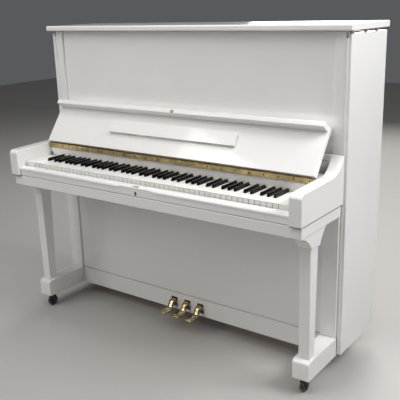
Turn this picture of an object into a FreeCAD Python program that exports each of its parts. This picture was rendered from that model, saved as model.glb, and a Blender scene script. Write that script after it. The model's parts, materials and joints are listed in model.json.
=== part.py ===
import FreeCAD, Part
import Sketcher
import math
import os
from FreeCAD import Vector

# Upright piano, full-size case, standing on four casters.
# Frame: +X to the player's right, +Y to the back, +Z up, origin on the floor in the middle of the
# whole object.  Every length is in millimetres.  "reach" sizes run back from the arm fronts.

SIZES = {
    # gaps and allowances used all over: past a cut face, between moving parts, between fixed parts
    "overcut": 1, "running_gap": 0.3, "snug_gap": 0.5,
    # case
    "case_width": 1466, "case_depth": 636, "case_height": 1302,
    "arm_reach": 320, "side_thickness": 32, "side_lift": 70, "bead_radius": 5, "bead_width": 9,
    "bead_inset": 10, "rebate_depth": 26, "panel_gap": 0.8, "panel_top_gap": 2, "board": 20,
    "bead_drop": 13,
    "stile_width": 39, "lower_stile_width": 70, "lower_stile_proud": 12, "upper_recess": 9,
    "stile_back_gap": 1, "stile_side_inset": 3.5,
    # lid
    "lid_thickness": 22, "lid_gap": 12, "lid_overhang": 12, "lid_front_overhang": 26,
    "lid_edge_round": 6, "hinge_knuckle": 3, "lid_foot_bevel": 3, "lid_hinge_length": 70,
    "lid_plate_depth": 30, "lid_plate_gap": 1, "lid_plate_seat": 2, "bumper_radius": 6, "bumper_inset": 14,
    # arms and key bed
    "arm_thickness": 48, "arm_inset": 10, "arm_nose_height": 95, "arm_nose_radius": 19,
    "arm_flat_rise": 5, "arm_flat_reach": 228, "arm_ledge_reach": 311, "arm_ledge_height": 181,
    "arm_sweep_radius": 95, "bed_bottom": 629, "bed_thickness": 42, "bed_front": 13,
    "bed_side_inset": 16, "bed_reach": 480, "arm_back_gap": 3.2, "bed_joint_lead": 5,
    "bed_corner_width": 40, "rod_slot_width": 24, "rod_slot_margin": 15,
    # keyboard
    "key_front": 46, "key_top": 731, "key_height": 23, "white_pitch": 23.5, "key_slack": 1,
    "head_length": 50, "key_length": 395, "balance_reach": 205, "balance_rail_width": 16,
    "black_height": 12, "black_width": 10.5, "black_length": 97, "black_lean": 4, "black_gap": 1.2,
    "slip_front": 11, "slip_height": 41, "slip_thickness": 31, "slip_round": 11,
    "slip_step": 2.5, "slip_neck": 3, "field_width": 200, "field_slope": 22, "field_rise": 8,
    "rail_clearance": 0.5, "slip_bevel": 1, "keyhole_radius": 3, "keyhole_height": 13, "keyhole_lead": 10,
    "lock_cover": 4, "lock_well_width": 32, "lock_well_depth": 10, "lock_floor": 4, "lock_top_gap": 2,
    "lock_foot_height": 8, "bolt_width": 8, "bolt_depth": 7, "bolt_set": 1, "bolt_top_gap": 1,
    "cap_seat": 3, "front_rail_inset": 12, "front_rail_width": 40, "front_rail_height": 20,
    "front_pin_radius": 2, "front_pin_height": 6, "back_rail_inset": 45, "back_rail_width": 40,
    # name board and fallboard
    "hinge_reach": 193, "hinge_height": 791, "fallboard_lean": 36, "fallboard_gap": 1,
    "fallboard_thickness": 20, "fallboard_drop": 12.6, "fallboard_length": 191, "lip_length": 39,
    "lip_thickness": 20, "lip_round": 4, "leaf_thickness": 1.5, "leaf_height": 21,
    "knuckle_radius": 2.5, "knuckle_length": 30, "name_board_bottom": 746, "ledge_width": 640,
    "ledge_height": 52, "ledge_thickness": 14, "ledge_seat": 75, "strike_width": 18,
    "hinge_rise": 9, "back_rail_lead": 12, "shelf_thickness": 12, "fallboard_foot": 3, "lip_inset": 4,
    "strike_inset": 7, "strike_plate_height": 12, "strike_plate_thickness": 1.5, "strike_mouth_width": 11,
    "strike_rim": 1.5, "bolt_pocket_width": 12, "bolt_pocket_depth": 7, "bolt_pocket_rim": 1,
    "leaf_end_gap": 1, "moving_leaf_width": 5, "knuckle_gap": 0.5, "web_overlap": 0.8, "web_thickness": 1,
    # legs
    "toe_lift": 63, "toe_height": 77, "toe_width": 70, "toe_reach": 88, "toe_round": 18,
    "leg_inset": 27, "leg_width": 44, "leg_reach": 104, "leg_depth_top": 57, "leg_depth_foot": 38,
    "corbel_height": 63, "corbel_reach": 20, "corbel_depth": 189, "corbel_width": 56,
    "corbel_edge": 4, "corbel_joint": 2, "corbel_back_radius": 130, "corbel_front_radius": 110,
    "leg_front_lean": 4, "toe_joint": 1, "toe_back_gap": 5,
    # lower case
    "rail_top": 139, "rail_bottom": 61, "bottom_board_thickness": 22, "lower_panel_set": 8,
    "rail_joint": 3, "rail_proud": 3, "rail_depth": 25, "floor_setback": 30, "well_margin": 24,
    "well_back_gap": 20,
    # pedals and their linkage
    "pedal_pitch": 72, "pedal_width": 24, "pad_width": 44, "pedal_pivot_reach": 486,
    "pedal_thickness": 12, "pedal_height": 104, "pad_height": 74, "pad_length": 66,
    "neck_length": 14, "neck_lead": 6,
    "pedal_tip_reach": 218, "lever_height": 162, "lever_size": 18, "lever_spacing": 30,
    "lever_post_width": 12, "lever_post_gap": 0.5,
    "rod_radius": 6, "rod_place": 655, "rod_top": 842, "rod_gap": 0.4, "lever_setback": 66,
    "lever_end": 12, "pedal_slot_width": 34, "pedal_slot_bottom": 74, "pedal_slot_top": 118,
    "pedal_block_thickness": 7, "pedal_block_length": 30, "pedal_block_rise": 14, "pedal_tail": 8,
    "pad_shoulder": 8, "pedal_bore_radius": 3.4, "link_radius": 3.5,
    # back, strings and action
    "post_width": 64, "post_depth": 56, "beam_height": 130, "soundboard_thickness": 8,
    "soundboard_reach": 555, "plate_thickness": 12, "plate_reach": 530, "string_reach": 518,
    "string_cross": 12,
    "treble_bridge_height": 470, "bridge_slope": 18.4,
    "strike_height": 1000, "butt_height": 880, "butt_reach": 455, "butt_radius": 9, "damper_reach": 484,
    "note_spread": 1300, "break_clearance": 2.07,
    "back_side_gap": 1, "back_top_gap": 2, "bottom_beam_height": 100, "soundboard_side_gap": 2,
    "soundboard_foot": 20, "soundboard_top_gap": 1, "rib_inset": 40, "rib_width": 22,
    "bridge_height": 30, "bass_bridge_height": 330, "plate_side_gap": 3, "plate_foot": 20,
    "plate_top_gap": 4, "plate_rim": 40, "plate_bar_half": 14, "plate_web": 30, "plate_hitch": 150,
    "pin_field_drop": 25, "pin_end_gap": 0.2, "shank_radius": 2.6, "butt_width": 8,
    "hammer_length": 26, "hammer_shrink": 0.08, "hammer_width": 9, "hammer_height": 24,
    "hammer_set": 6, "hammer_nose": 6, "damper_gap": 0.4, "damper_stem": 5, "damper_height": 74,
    "damper_set": 2, "damper_felt_height": 26, "damper_felt_rise": 34, "muffler_setback": 22,
    "muffler_thickness": 3, "muffler_rise": 22, "muffler_height": 30, "rail_end": 20,
    "rail_lead": 14, "rail_tail": 12, "rest_drop": 28, "main_rail_height": 27, "rest_rail_gap": 3,
    "rest_rail_height": 22, "damper_rail_height": 12, "bracket_inset": 3, "bracket_thickness": 5,
    "bracket_foot_lead": 9, "bracket_foot_tail": 7, "bracket_arm_depth": 14,
    # casters
    "wheel_radius": 24, "wheel_width": 18, "caster_reach": 126, "rear_caster_reach": 560,
    "caster_inset": 37, "rear_caster_inset": 93, "axle_radius": 4, "fork_plate_width": 52,
    "fork_plate_thickness": 4, "cheek_thickness": 4, "cheek_gap": 1, "cheek_depth": 24, "cheek_drop": 8,
}

doc = FreeCAD.newDocument("upright_piano")
sheet = doc.addObject("Spreadsheet::Sheet", "Sizes")
for row, (name, number) in enumerate(SIZES.items(), start=1):
    sheet.set("A%d" % row, name.replace("_", " "))
    sheet.set("B%d" % row, str(number))
    sheet.setAlias("B%d" % row, name)
doc.recompute()


class Size:
    """A length that carries its number and the sheet expression that gives it."""

    def __init__(self, number, text):
        self.number = number
        self.text = text

    def __add__(self, other):
        other = size(other)
        return Size(self.number + other.number, "(%s + %s)" % (self.text, other.text))

    def __sub__(self, other):
        other = size(other)
        return Size(self.number - other.number, "(%s - %s)" % (self.text, other.text))

    def __mul__(self, other):
        other = size(other)
        return Size(self.number * other.number, "(%s * %s)" % (self.text, other.text))

    def __truediv__(self, other):
        other = size(other)
        return Size(self.number / other.number, "(%s / %s)" % (self.text, other.text))

    def __radd__(self, other):
        return size(other) + self

    def __rsub__(self, other):
        return size(other) - self

    def __rmul__(self, other):
        return size(other) * self

    def __neg__(self):
        return size(-1) * self


def size(value):
    """The named size of the sheet, or a plain number, as a Size."""
    if isinstance(value, Size):
        return value
    if isinstance(value, str):
        return Size(float(sheet.get(value)), "Sizes." + value)
    return Size(float(value), "%g" % value)


def reach(value):
    """The Y place that lies this far behind the arm fronts."""
    return size(value) - size("case_depth") / 2


# ---------------------------------------------------------------- shapes bound to the sheet
def bind(part, prop, value):
    part.setExpression(prop, size(value).text)


def place(part, x, y, z):
    for axis, value in zip("xyz", (x, y, z)):
        bind(part, "Placement.Base." + axis, value)
    return part


def box(label, x, y, z):
    """A board between a low and a high place on each axis."""
    part = doc.addObject("Part::Box", label)
    for prop, (low, high) in zip(("Length", "Width", "Height"), (x, y, z)):
        bind(part, prop, size(high) - low)
    return place(part, x[0], y[0], z[0])


def rod(label, radius, length, at, along):
    """A round bar that starts at one point and runs along an axis."""
    part = doc.addObject("Part::Cylinder", label)
    bind(part, "Radius", radius)
    bind(part, "Height", length)
    place(part, *at)
    part.Placement.Rotation = FreeCAD.Rotation(Vector(0, 0, 1), along)
    return part


def group(label, parts):
    """Separate solids of one kind, kept together in one node."""
    part = doc.addObject("Part::Compound", label)
    part.Links = parts
    return part


def fuse(label, parts):
    part = doc.addObject("Part::MultiFuse", label)
    part.Shapes = parts
    return part


def cut(label, base, tool):
    part = doc.addObject("Part::Cut", label)
    part.Base = base
    part.Tool = tool
    return part


def lean(part, degrees, about=Vector(1, 0, 0)):
    """Turn a part about its own origin by an angle of the sheet."""
    part.Placement.Rotation = FreeCAD.Rotation(about, size(degrees).number)
    part.setExpression("Placement.Rotation.Angle", size(degrees).text + " * 1 deg")
    return part


def arc_leg(start, end, radius):
    """A sketch arc from start to end; a negative radius turns clockwise."""
    half = (end - start).Length / 2
    side = Vector(-(end - start).y, (end - start).x, 0).normalize()
    depth = math.sqrt(max(radius * radius - half * half, 0))
    centre = (start + end) / 2 + side * (depth if radius > 0 else -depth)
    first, last = (start, end) if radius > 0 else (end, start)
    angles = [math.atan2(p.y - centre.y, p.x - centre.x) for p in (first, last)]
    circle = Part.Circle(centre, Vector(0, 0, 1), abs(radius))
    return Part.ArcOfCircle(circle, angles[0], angles[1])


def padded(label, plane, outline, length, at):
    """A body padded from one closed outline.

    Each corner of the outline is (x, y), or (x, y, radius) where the leg that ends at the corner is
    an arc, whose radius is negative when it turns clockwise.
    """
    body = doc.addObject("PartDesign::Body", label)
    sketch = body.newObject("Sketcher::SketchObject", label + "_outline")
    wanted = [f for f in body.Origin.OriginFeatures if f.Role == plane][0]
    sketch.AttachmentSupport = [(wanted, "")]
    sketch.MapMode = "FlatFace"
    corners = [Vector(size(c[0]).number, size(c[1]).number, 0) for c in outline]
    ends = []
    for i, corner in enumerate(outline):
        start, end = corners[i - 1], corners[i]
        if len(corner) == 2:
            sketch.addGeometry(Part.LineSegment(start, end))
            ends.append((1, 2))
        else:
            radius = size(corner[2]).number
            sketch.addGeometry(arc_leg(start, end, radius))
            ends.append((1, 2) if radius > 0 else (2, 1))
    for i, corner in enumerate(outline):
        following = (i + 1) % len(outline)
        sketch.addConstraint(Sketcher.Constraint(
            "Coincident", i, ends[i][1], following, ends[following][0]))
        for kind, value in zip(("DistanceX", "DistanceY"), corner):
            number = size(value).number
            index = sketch.addConstraint(Sketcher.Constraint(kind, -1, 1, i, ends[i][1], number))
            sketch.setExpression("Constraints[%d]" % index, size(value).text)
        if len(corner) == 3:
            sign = 1 if size(corner[2]).number > 0 else -1
            radius = size(corner[2]) * sign
            index = sketch.addConstraint(Sketcher.Constraint("Radius", i, radius.number))
            sketch.setExpression("Constraints[%d]" % index, radius.text)
    pad = body.newObject("PartDesign::Pad", label + "_pad")
    pad.Profile = sketch
    bind(pad, "Length", length)
    body.Tip = pad
    return place(body, *at)


def feature(label, solids):
    """Solids made in code from the sheet's sizes, for pieces that repeat along the keyboard."""
    part = doc.addObject("Part::Feature", label)
    part.Shape = Part.makeCompound(solids) if len(solids) > 1 else solids[0]
    return part


nodes = {}


def node(part):
    nodes[part.Label] = part
    return part


# ---------------------------------------------------------------- places used by many pieces
HALF = size("case_width") / 2
REAR = size("case_depth") / 2
SIDE_FRONT = reach("arm_reach")
SIDE_INNER = HALF - "side_thickness"
LID_BOTTOM = size("case_height") - "lid_thickness"
SIDE_TOP = LID_BOTTOM - "lid_gap"
ARM_OUTER = HALF - "arm_inset"
ARM_INNER = ARM_OUTER - "arm_thickness"
BED_TOP = size("bed_bottom") + "bed_thickness"
LEDGE_TOP = BED_TOP + "arm_ledge_height"
KEY_FRONT = reach("key_front")
KEY_BOTTOM = size("key_top") - "key_height"
HINGE_Y = reach("hinge_reach")
NAME_BOARD_FRONT = HINGE_Y + "knuckle_radius"
NAME_BOARD_TOP = size("hinge_height") - "hinge_rise"
UPPER_PANEL_FRONT = SIDE_FRONT + "upper_recess"
LOWER_STILE_FRONT = SIDE_FRONT - "lower_stile_proud"
LOCK_FRONT = reach("slip_front") + "lock_cover"
FALLBOARD_HALF = ARM_INNER - "fallboard_gap"
TOE_OUTER = HALF - "bed_side_inset"
TOE_INNER = TOE_OUTER - "toe_width"
TOE_TOP = size("toe_lift") + "toe_height"
WHITE_KEYS = 52
KEYS_HALF = size("white_pitch") * (WHITE_KEYS / 2)
SIDES = (("left", -1), ("right", 1))


def mirrored(low, high, sign):
    """A left or right pair of X places, lowest first."""
    return (low, high) if sign > 0 else (-high, -low)


# ---------------------------------------------------------------- case
def side_panels():
    bead = size("bead_radius")
    bead_out = HALF - "bead_inset"
    bead_in = bead_out - "bead_width"
    for hand, s in SIDES:
        turn = 1 if s > 0 else -1
        outline = [
            (s * HALF, SIDE_FRONT), (s * bead_out, SIDE_FRONT),
            (s * bead_in, SIDE_FRONT, bead * -turn),
            (s * bead_in, SIDE_FRONT + "rebate_depth"),
            (s * SIDE_INNER, SIDE_FRONT + "rebate_depth"),
            (s * SIDE_INNER, REAR), (s * HALF, REAR)]
        blank = padded("side_board_" + hand, "XY_Plane", outline, SIDE_TOP - "side_lift",
                       (0, 0, "side_lift"))
        notch = box("side_notch_" + hand, mirrored(bead_in - "overcut", bead_out, s),
                    (SIDE_FRONT - bead - "overcut", SIDE_FRONT + "upper_recess"),
                    (SIDE_TOP - "bead_drop", SIDE_TOP + "overcut"))
        node(cut("side_panel_" + hand, blank, notch))


def stiles():
    bead_in = HALF - "bead_inset" - "bead_width"
    parts = []
    for hand, s in SIDES:
        outer = bead_in - "snug_gap"
        inner = outer - "stile_width"
        parts.append(box("upper_stile_" + hand, mirrored(inner, outer, s),
                         (SIDE_FRONT, SIDE_FRONT + "rebate_depth" - "stile_back_gap"),
                         (BED_TOP, LID_BOTTOM - "panel_top_gap")))
        low_outer = size(TOE_OUTER)
        parts.append(box("lower_stile_" + hand,
                         mirrored(low_outer - "lower_stile_width", low_outer - "stile_side_inset", s),
                         (LOWER_STILE_FRONT, SIDE_FRONT - "bead_radius" - "snug_gap"),
                         (TOE_TOP, "bed_bottom")))
    node(group("stiles", parts))


def arms():
    nose = size("arm_nose_radius")
    for hand, s in SIDES:
        back = size("arm_reach") - "arm_back_gap"
        outline = [
            (0, 0), (0, back), ("arm_ledge_height", back),
            ("arm_ledge_height", "arm_ledge_reach"),
            (size("arm_nose_height") + nose + "arm_flat_rise", "arm_flat_reach",
             -size("arm_sweep_radius")),
            (size("arm_nose_height") + nose, nose), ("arm_nose_height", 0, nose)]
        # drawn as (back, up) on the YZ plane
        outline = [(c[1], c[0]) + tuple(c[2:]) for c in outline]
        node(padded("arm_" + hand, "YZ_Plane", outline, "arm_thickness",
                    (mirrored(ARM_INNER, ARM_OUTER, s)[0], -size("case_depth") / 2, BED_TOP)))


def key_bed():
    half = HALF - "bed_side_inset"
    joint = SIDE_FRONT - "bed_joint_lead"
    through = (size("bed_bottom") - "overcut", BED_TOP + "overcut")
    front = box("bed_front_board", (-half, half), (reach("bed_front"), joint), ("bed_bottom", BED_TOP))
    back = box("bed_back_board", (-SIDE_INNER, SIDE_INNER), (joint, reach("bed_reach")),
               ("bed_bottom", BED_TOP))
    slot_half = size("rod_slot_width") / 2
    slot = box("rod_slot", (-size("rod_place") - slot_half, -size("rod_place") + slot_half),
               (lever_place(-1) - "rod_slot_margin", lever_place(1) + "rod_slot_margin"), through)
    # the back half is narrower, so that it passes between the sides; the stiles stand on it
    stile_room = [box("bed_corner_" + hand, mirrored(ARM_INNER - "bed_corner_width", HALF, s),
                      (joint, SIDE_FRONT + "rebate_depth"), through) for hand, s in SIDES]
    blank = fuse("bed_blank", [front, back])
    node(cut("key_bed", blank, fuse("bed_openings", stile_room + [slot])))


def key_slip():
    thick = size("slip_thickness")
    tall = size("slip_height")
    r = size("slip_round")
    step = size("slip_step")
    neck = tall - "slip_round" - "slip_neck"
    outline = [(thick, 0), (thick, tall), (r, tall), (0, tall - r, r), (0, neck),
               (step, neck - "slip_bevel"), (step, 0)]
    body = padded("slip_board", "YZ_Plane", outline, (ARM_INNER - "panel_gap") * 2,
                  (-(ARM_INNER - "panel_gap"), reach("slip_front"), BED_TOP))
    # over the lock the overhang is cut back, between sloping ends, to a flat field
    foot = size("field_width") / 2
    head = foot - "field_slope"
    notch = padded("slip_field", "XZ_Plane",
                   [(-foot, neck - size("slip_bevel") * 2), (foot, neck - size("slip_bevel") * 2),
                    (head, neck + "field_rise"), (-head, neck + "field_rise")],
                   step + "overcut", (0, reach("slip_front") + step, BED_TOP))
    hole = rod("slip_keyhole", "keyhole_radius", thick * 2,
               (0, reach("slip_front") - "keyhole_lead", BED_TOP + "keyhole_height"), Vector(0, 1, 0))
    well_half = size("lock_well_width") / 2
    well = box("slip_lock_well", (-well_half, well_half), (LOCK_FRONT, LOCK_FRONT + "lock_well_depth"),
               (BED_TOP + "lock_floor", BED_TOP + tall + "overcut"))
    node(cut("key_slip", body, fuse("slip_cuts", [notch, hole, well])))


def key_blocks():
    keys_half = KEYS_HALF + "key_slack"
    parts = [box("key_block_" + hand, mirrored(keys_half, ARM_INNER - "panel_gap", s),
                 (KEY_FRONT, NAME_BOARD_FRONT - "panel_gap"), (BED_TOP, "key_top"))
             for hand, s in SIDES]
    node(group("key_blocks", parts))


def name_board():
    half = FALLBOARD_HALF
    front = box("name_strip", (-half, half), (NAME_BOARD_FRONT, NAME_BOARD_FRONT + "board"),
                ("name_board_bottom", NAME_BOARD_TOP))
    rail_front = SIDE_FRONT - "back_rail_lead"
    shelf_foot = NAME_BOARD_TOP - "shelf_thickness"
    shelf = box("name_shelf", (-half, half), (NAME_BOARD_FRONT + "board", rail_front),
                (shelf_foot, NAME_BOARD_TOP))
    rail = box("name_back_rail", (-half, half), (rail_front, SIDE_FRONT - "snug_gap"),
               (shelf_foot, LEDGE_TOP))
    node(group("name_board", [front, shelf, rail]))


def front_panels():
    bead_in = HALF - "bead_inset" - "bead_width"
    half = bead_in - "stile_width" - "snug_gap" - "panel_gap"
    node(box("upper_panel", (-half, half), (UPPER_PANEL_FRONT, UPPER_PANEL_FRONT + "board"),
             (NAME_BOARD_TOP, LID_BOTTOM - "panel_top_gap")))
    low_half = TOE_OUTER - "lower_stile_width" - "panel_gap"
    low_front = LOWER_STILE_FRONT + "lower_panel_set"
    node(box("lower_panel", (-low_half, low_half), (low_front, low_front + "board"),
             (size("rail_top") + "rail_joint", size("bed_bottom") - "snug_gap")))
    rail_front = low_front - "rail_proud"
    rail_back = rail_front + "rail_depth"
    rail = box("rail_board", (-low_half, low_half), (rail_front, rail_back), ("rail_bottom", "rail_top"))
    slot_half = size("pedal_slot_width") / 2
    slots = [box("rail_slot_%d" % i,
                 (size("pedal_pitch") * i - slot_half, size("pedal_pitch") * i + slot_half),
                 (rail_front - "overcut", rail_back + "overcut"),
                 ("pedal_slot_bottom", "pedal_slot_top")) for i in (-1, 0, 1)]
    node(cut("bottom_rail", rail, fuse("rail_slots", slots)))


def bottom_board():
    top = size("side_lift") + "bottom_board_thickness"
    low_front = LOWER_STILE_FRONT + "floor_setback"
    floor = box("floor_board", (-SIDE_INNER, SIDE_INNER), (low_front, REAR - "post_depth"),
                ("side_lift", top))
    well_half = size("pedal_pitch") + "well_margin"
    well = box("pedal_well", (-well_half, well_half),
               (low_front - "overcut", reach("pedal_pivot_reach") - "well_back_gap"),
               (size("side_lift") - "overcut", top + "overcut"))
    parts = [cut("floor_board_opened", floor, well)]
    block_half = size("pedal_block_thickness") / 2
    block_reach = size("pedal_block_length") / 2
    for i in (-1, 0, 1):
        x = size("pedal_pitch") * i
        for j in (-1, 1):
            cheek = x + j * (size("pedal_width") / 2 + "snug_gap" + block_half)
            parts.append(box("pedal_block_%d_%d" % (i + 1, j + 1), (cheek - block_half, cheek + block_half),
                             (reach("pedal_pivot_reach") - block_reach,
                              reach("pedal_pivot_reach") + block_reach),
                             (top, size("pedal_height") + "pedal_block_rise")))
    for i in (-1, 0, 1):
        y = lever_place(i)
        post = lever_pivot(i)
        half = size("lever_post_width") / 2
        parts.append(box("lever_post_%d" % (i + 1), (post - half, post + half), (y - half, y + half),
                         (top, size("lever_height") - size("lever_size") / 2 - "lever_post_gap")))
    node(group("bottom_board", parts))


# ---------------------------------------------------------------- legs and casters
def legs():
    corbels = []
    toes = []
    for hand, s in SIDES:
        outer = HALF - "leg_inset"
        inner = outer - "leg_width"
        low, high = mirrored(inner, outer, s)
        top = size("bed_bottom") - "corbel_height"
        front = size("leg_reach")
        set_in = size("leg_front_lean")
        outline = [(0, 0), ("leg_depth_foot", 0),
                   (size("leg_depth_top") - set_in, top - TOE_TOP), (-set_in, top - TOE_TOP)]
        node(padded("leg_" + hand, "YZ_Plane", outline, "leg_width",
                    (low, reach(front + set_in), TOE_TOP)))
        spread = (size("corbel_width") - "leg_width") / 2
        foot = size("leg_reach") - "corbel_reach"
        edge = size("corbel_height") - "corbel_edge"
        outline = [(foot + size("leg_depth_top") + "corbel_joint", 0),
                   ("corbel_depth", edge, -size("corbel_back_radius")),
                   ("corbel_depth", "corbel_height"), (0, "corbel_height"),
                   (0, edge), (foot - "corbel_joint", 0, -size("corbel_front_radius"))]
        corbels.append(padded("corbel_" + hand, "YZ_Plane", outline, "corbel_width",
                              (low - spread, reach("corbel_reach"), top)))
        low, high = mirrored(TOE_INNER, TOE_OUTER - "toe_joint", s)
        depth = SIDE_FRONT - "toe_back_gap" - reach("toe_reach")
        r = size("toe_round")
        outline = [(0, 0), (depth, 0), (depth, "toe_height"), (r, "toe_height"),
                   (0, size("toe_height") - r, r)]
        toes.append(padded("toe_block_" + hand, "YZ_Plane", outline, size("toe_width") - "toe_joint",
                           (low, reach("toe_reach"), "toe_lift")))
    node(group("corbels", corbels))
    node(group("toe_blocks", toes))


def casters():
    forks = []
    for end, inset, y, lift in (
            ("front", TOE_OUTER - "caster_inset", "caster_reach", size("toe_lift")),
            ("rear", HALF - "rear_caster_inset", "rear_caster_reach", size("side_lift"))):
        for hand, s in SIDES:
            x = s * inset
            wide = size("wheel_width") / 2
            centre = (x - wide, reach(y), "wheel_radius")
            tyre = rod("tyre_%s_%s" % (end, hand), "wheel_radius", "wheel_width", centre,
                       Vector(1, 0, 0))
            bore = rod("tyre_bore_%s_%s" % (end, hand), size("axle_radius") + "running_gap",
                       size("wheel_width") + size("overcut") * 2,
                       (x - wide - "overcut", reach(y), "wheel_radius"), Vector(1, 0, 0))
            node(cut("caster_wheel_%s_%s" % (end, hand), tyre, bore))
            plate_half = size("fork_plate_width") / 2
            plate_foot = lift - "fork_plate_thickness"
            plate = box("plate_%s_%s" % (end, hand), (x - plate_half, x + plate_half),
                        (reach(y) - plate_half, reach(y) + plate_half), (plate_foot, lift))
            cheek_half = size("cheek_thickness") / 2
            cheek_reach = size("cheek_depth") / 2
            out = wide + "cheek_gap" + cheek_half
            cheeks = [box("cheek_%s_%s_%d" % (end, hand, k),
                          (x + k * out - cheek_half, x + k * out + cheek_half),
                          (reach(y) - cheek_reach, reach(y) + cheek_reach),
                          (size("wheel_radius") - "cheek_drop", plate_foot)) for k in (-1, 1)]
            axle = rod("axle_%s_%s" % (end, hand), "axle_radius", (out + cheek_half) * 2,
                       (x - out - cheek_half, reach(y), "wheel_radius"), Vector(1, 0, 0))
            forks.append(fuse("fork_%s_%s" % (end, hand), [plate, axle] + cheeks))
    node(group("caster_forks", forks))


# ---------------------------------------------------------------- lid
LID_HINGE_SHARE = 0.7
BUMPER_PLACES = (40, 150, 250)


def lid():
    half = HALF + "lid_overhang"
    front = SIDE_FRONT - "lid_front_overhang"
    back = REAR - (size("hinge_knuckle") + "running_gap") * 2
    r = size("lid_edge_round")
    depth = back - front
    outline = [(depth, 0), (depth, "lid_thickness"), (r, "lid_thickness"),
               (0, size("lid_thickness") - r, r), (0, "lid_foot_bevel"), ("lid_foot_bevel", 0)]
    node(padded("top_lid", "YZ_Plane", outline, half * 2, (-half, front, LID_BOTTOM)))
    hinges = []
    bumpers = []
    plate_half = size("lid_hinge_length") / 2
    for i, share in enumerate((-LID_HINGE_SHARE, 0, LID_HINGE_SHARE)):
        x = HALF * share
        knuckle = rod("lid_knuckle_%d" % i, "hinge_knuckle", "lid_hinge_length",
                      (x - plate_half, REAR - "hinge_knuckle", LID_BOTTOM), Vector(1, 0, 0))
        plate = box("lid_plate_%d" % i, (x - plate_half, x + plate_half),
                    (REAR - "lid_plate_depth", REAR - "lid_plate_gap"),
                    (SIDE_TOP - "lid_plate_seat", LID_BOTTOM - "lid_plate_gap"))
        hinges.append(fuse("lid_hinge_%d" % i, [knuckle, plate]))
    node(group("lid_hinges", hinges))
    for hand, s in SIDES:
        for i, back_by in enumerate(BUMPER_PLACES):
            bumpers.append(rod("bumper_%s_%d" % (hand, i), "bumper_radius",
                               size("lid_gap") - "running_gap",
                               (s * (HALF - "bumper_inset"), SIDE_FRONT + back_by, SIDE_TOP),
                               Vector(0, 0, 1)))
    node(group("lid_bumpers", bumpers))


# ---------------------------------------------------------------- fallboard, built upright and leant back
def fallboard():
    half = FALLBOARD_HALF
    drop = -size("fallboard_drop")
    base = size("fallboard_foot")
    top = base + "fallboard_length"

    def leaned(label, piece):
        """A piece of the open fallboard, turned about the hinge line."""
        holder = group(label, [piece])
        place(holder, 0, HINGE_Y, "hinge_height")
        return node(lean(holder, -size("fallboard_lean")))

    leaned("fallboard", box("fallboard_panel", (-half, half),
                            (drop, drop + "fallboard_thickness"), (base, top)))
    r = size("lip_round")
    lip_half = half - "lip_inset"
    outline = [(0, 0), (0, "lip_thickness"), (r - size("lip_length"), "lip_thickness"),
               (-size("lip_length"), size("lip_thickness") - r, r), (-size("lip_length"), r),
               (r - size("lip_length"), 0, r)]
    bar = padded("lip_bar", "YZ_Plane", outline, lip_half * 2,
                 (-lip_half, drop, top - "lip_thickness"))
    lip_end = drop - "lip_length"
    strike_top = top - "strike_inset"
    strike_foot = strike_top - "strike_plate_height"
    pocket_half = size("bolt_pocket_width") / 2
    pocket = box("bolt_pocket", (-pocket_half, pocket_half),
                 (lip_end - "overcut", lip_end + "bolt_pocket_depth"),
                 (strike_foot + "bolt_pocket_rim", strike_top - "bolt_pocket_rim"))
    leaned("fallboard_lip", cut("lip_pocketed", bar, pocket))
    ledge_half = size("ledge_width") / 2
    leaned("music_ledge", box("ledge_flap", (-ledge_half, ledge_half),
                              (drop - "ledge_thickness" - "running_gap", drop - "running_gap"),
                              ("ledge_seat", size("ledge_seat") + "ledge_height")))
    strike_half = size("strike_width") / 2
    plate_front = lip_end - "strike_plate_thickness"
    plate = box("strike_blank", (-strike_half, strike_half), (plate_front, lip_end),
                (strike_foot, strike_top))
    mouth_half = size("strike_mouth_width") / 2
    mouth = box("strike_mouth", (-mouth_half, mouth_half), (plate_front - "overcut", lip_end + "overcut"),
                (strike_foot + "strike_rim", strike_top - "strike_rim"))
    leaned("lock_strike", cut("strike_plate", plate, mouth))
    hinge_leaves(half)


def hinge_leaves(half):
    """The continuous hinge: its knuckles alternate between the two leaves."""
    knuckle = size("knuckle_radius").number
    length = size("knuckle_length").number
    thick = size("leaf_thickness").number
    gap = size("knuckle_gap").number
    apart = knuckle + size("running_gap").number
    joined = knuckle + size("web_overlap").number
    leaf_foot = size("fallboard_foot").number - thick
    left = size("leaf_end_gap").number - half.number
    run = half.number * 2
    count = int(run // length)
    first = -count * length / 2
    moving = [Part.makeBox(-left * 2, size("moving_leaf_width").number, thick,
                           Vector(left, apart, leaf_foot))]
    fixed = [Part.makeBox(-left * 2, thick, size("leaf_height").number - apart,
                          Vector(left, knuckle - thick, -size("leaf_height").number))]
    for i in range(count):
        start = Vector(first + i * length + gap / 2, 0, 0)
        barrel = Part.makeCylinder(knuckle, length - gap, start, Vector(1, 0, 0))
        if i % 2:
            web = Part.makeBox(length - gap, joined, size("web_thickness").number,
                               start + Vector(0, 0, leaf_foot))
            moving.append(barrel.fuse(web))
        else:
            web = Part.makeBox(length - gap, thick, joined, start + Vector(0, knuckle - thick, -joined))
            fixed.append(barrel.fuse(web))
    leaf = feature("fallboard_hinge_leaf", [moving[0].multiFuse(moving[1:]).Solids[0]])
    leaf.Placement = FreeCAD.Placement(
        Vector(0, HINGE_Y.number, size("hinge_height").number),
        FreeCAD.Rotation(Vector(1, 0, 0), -size("fallboard_lean").number))
    node(leaf)
    leaf = feature("name_board_hinge_leaf", [fixed[0].multiFuse(fixed[1:]).Solids[0]])
    leaf.Placement = FreeCAD.Placement(
        Vector(0, HINGE_Y.number, size("hinge_height").number), FreeCAD.Rotation())
    node(leaf)


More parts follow.
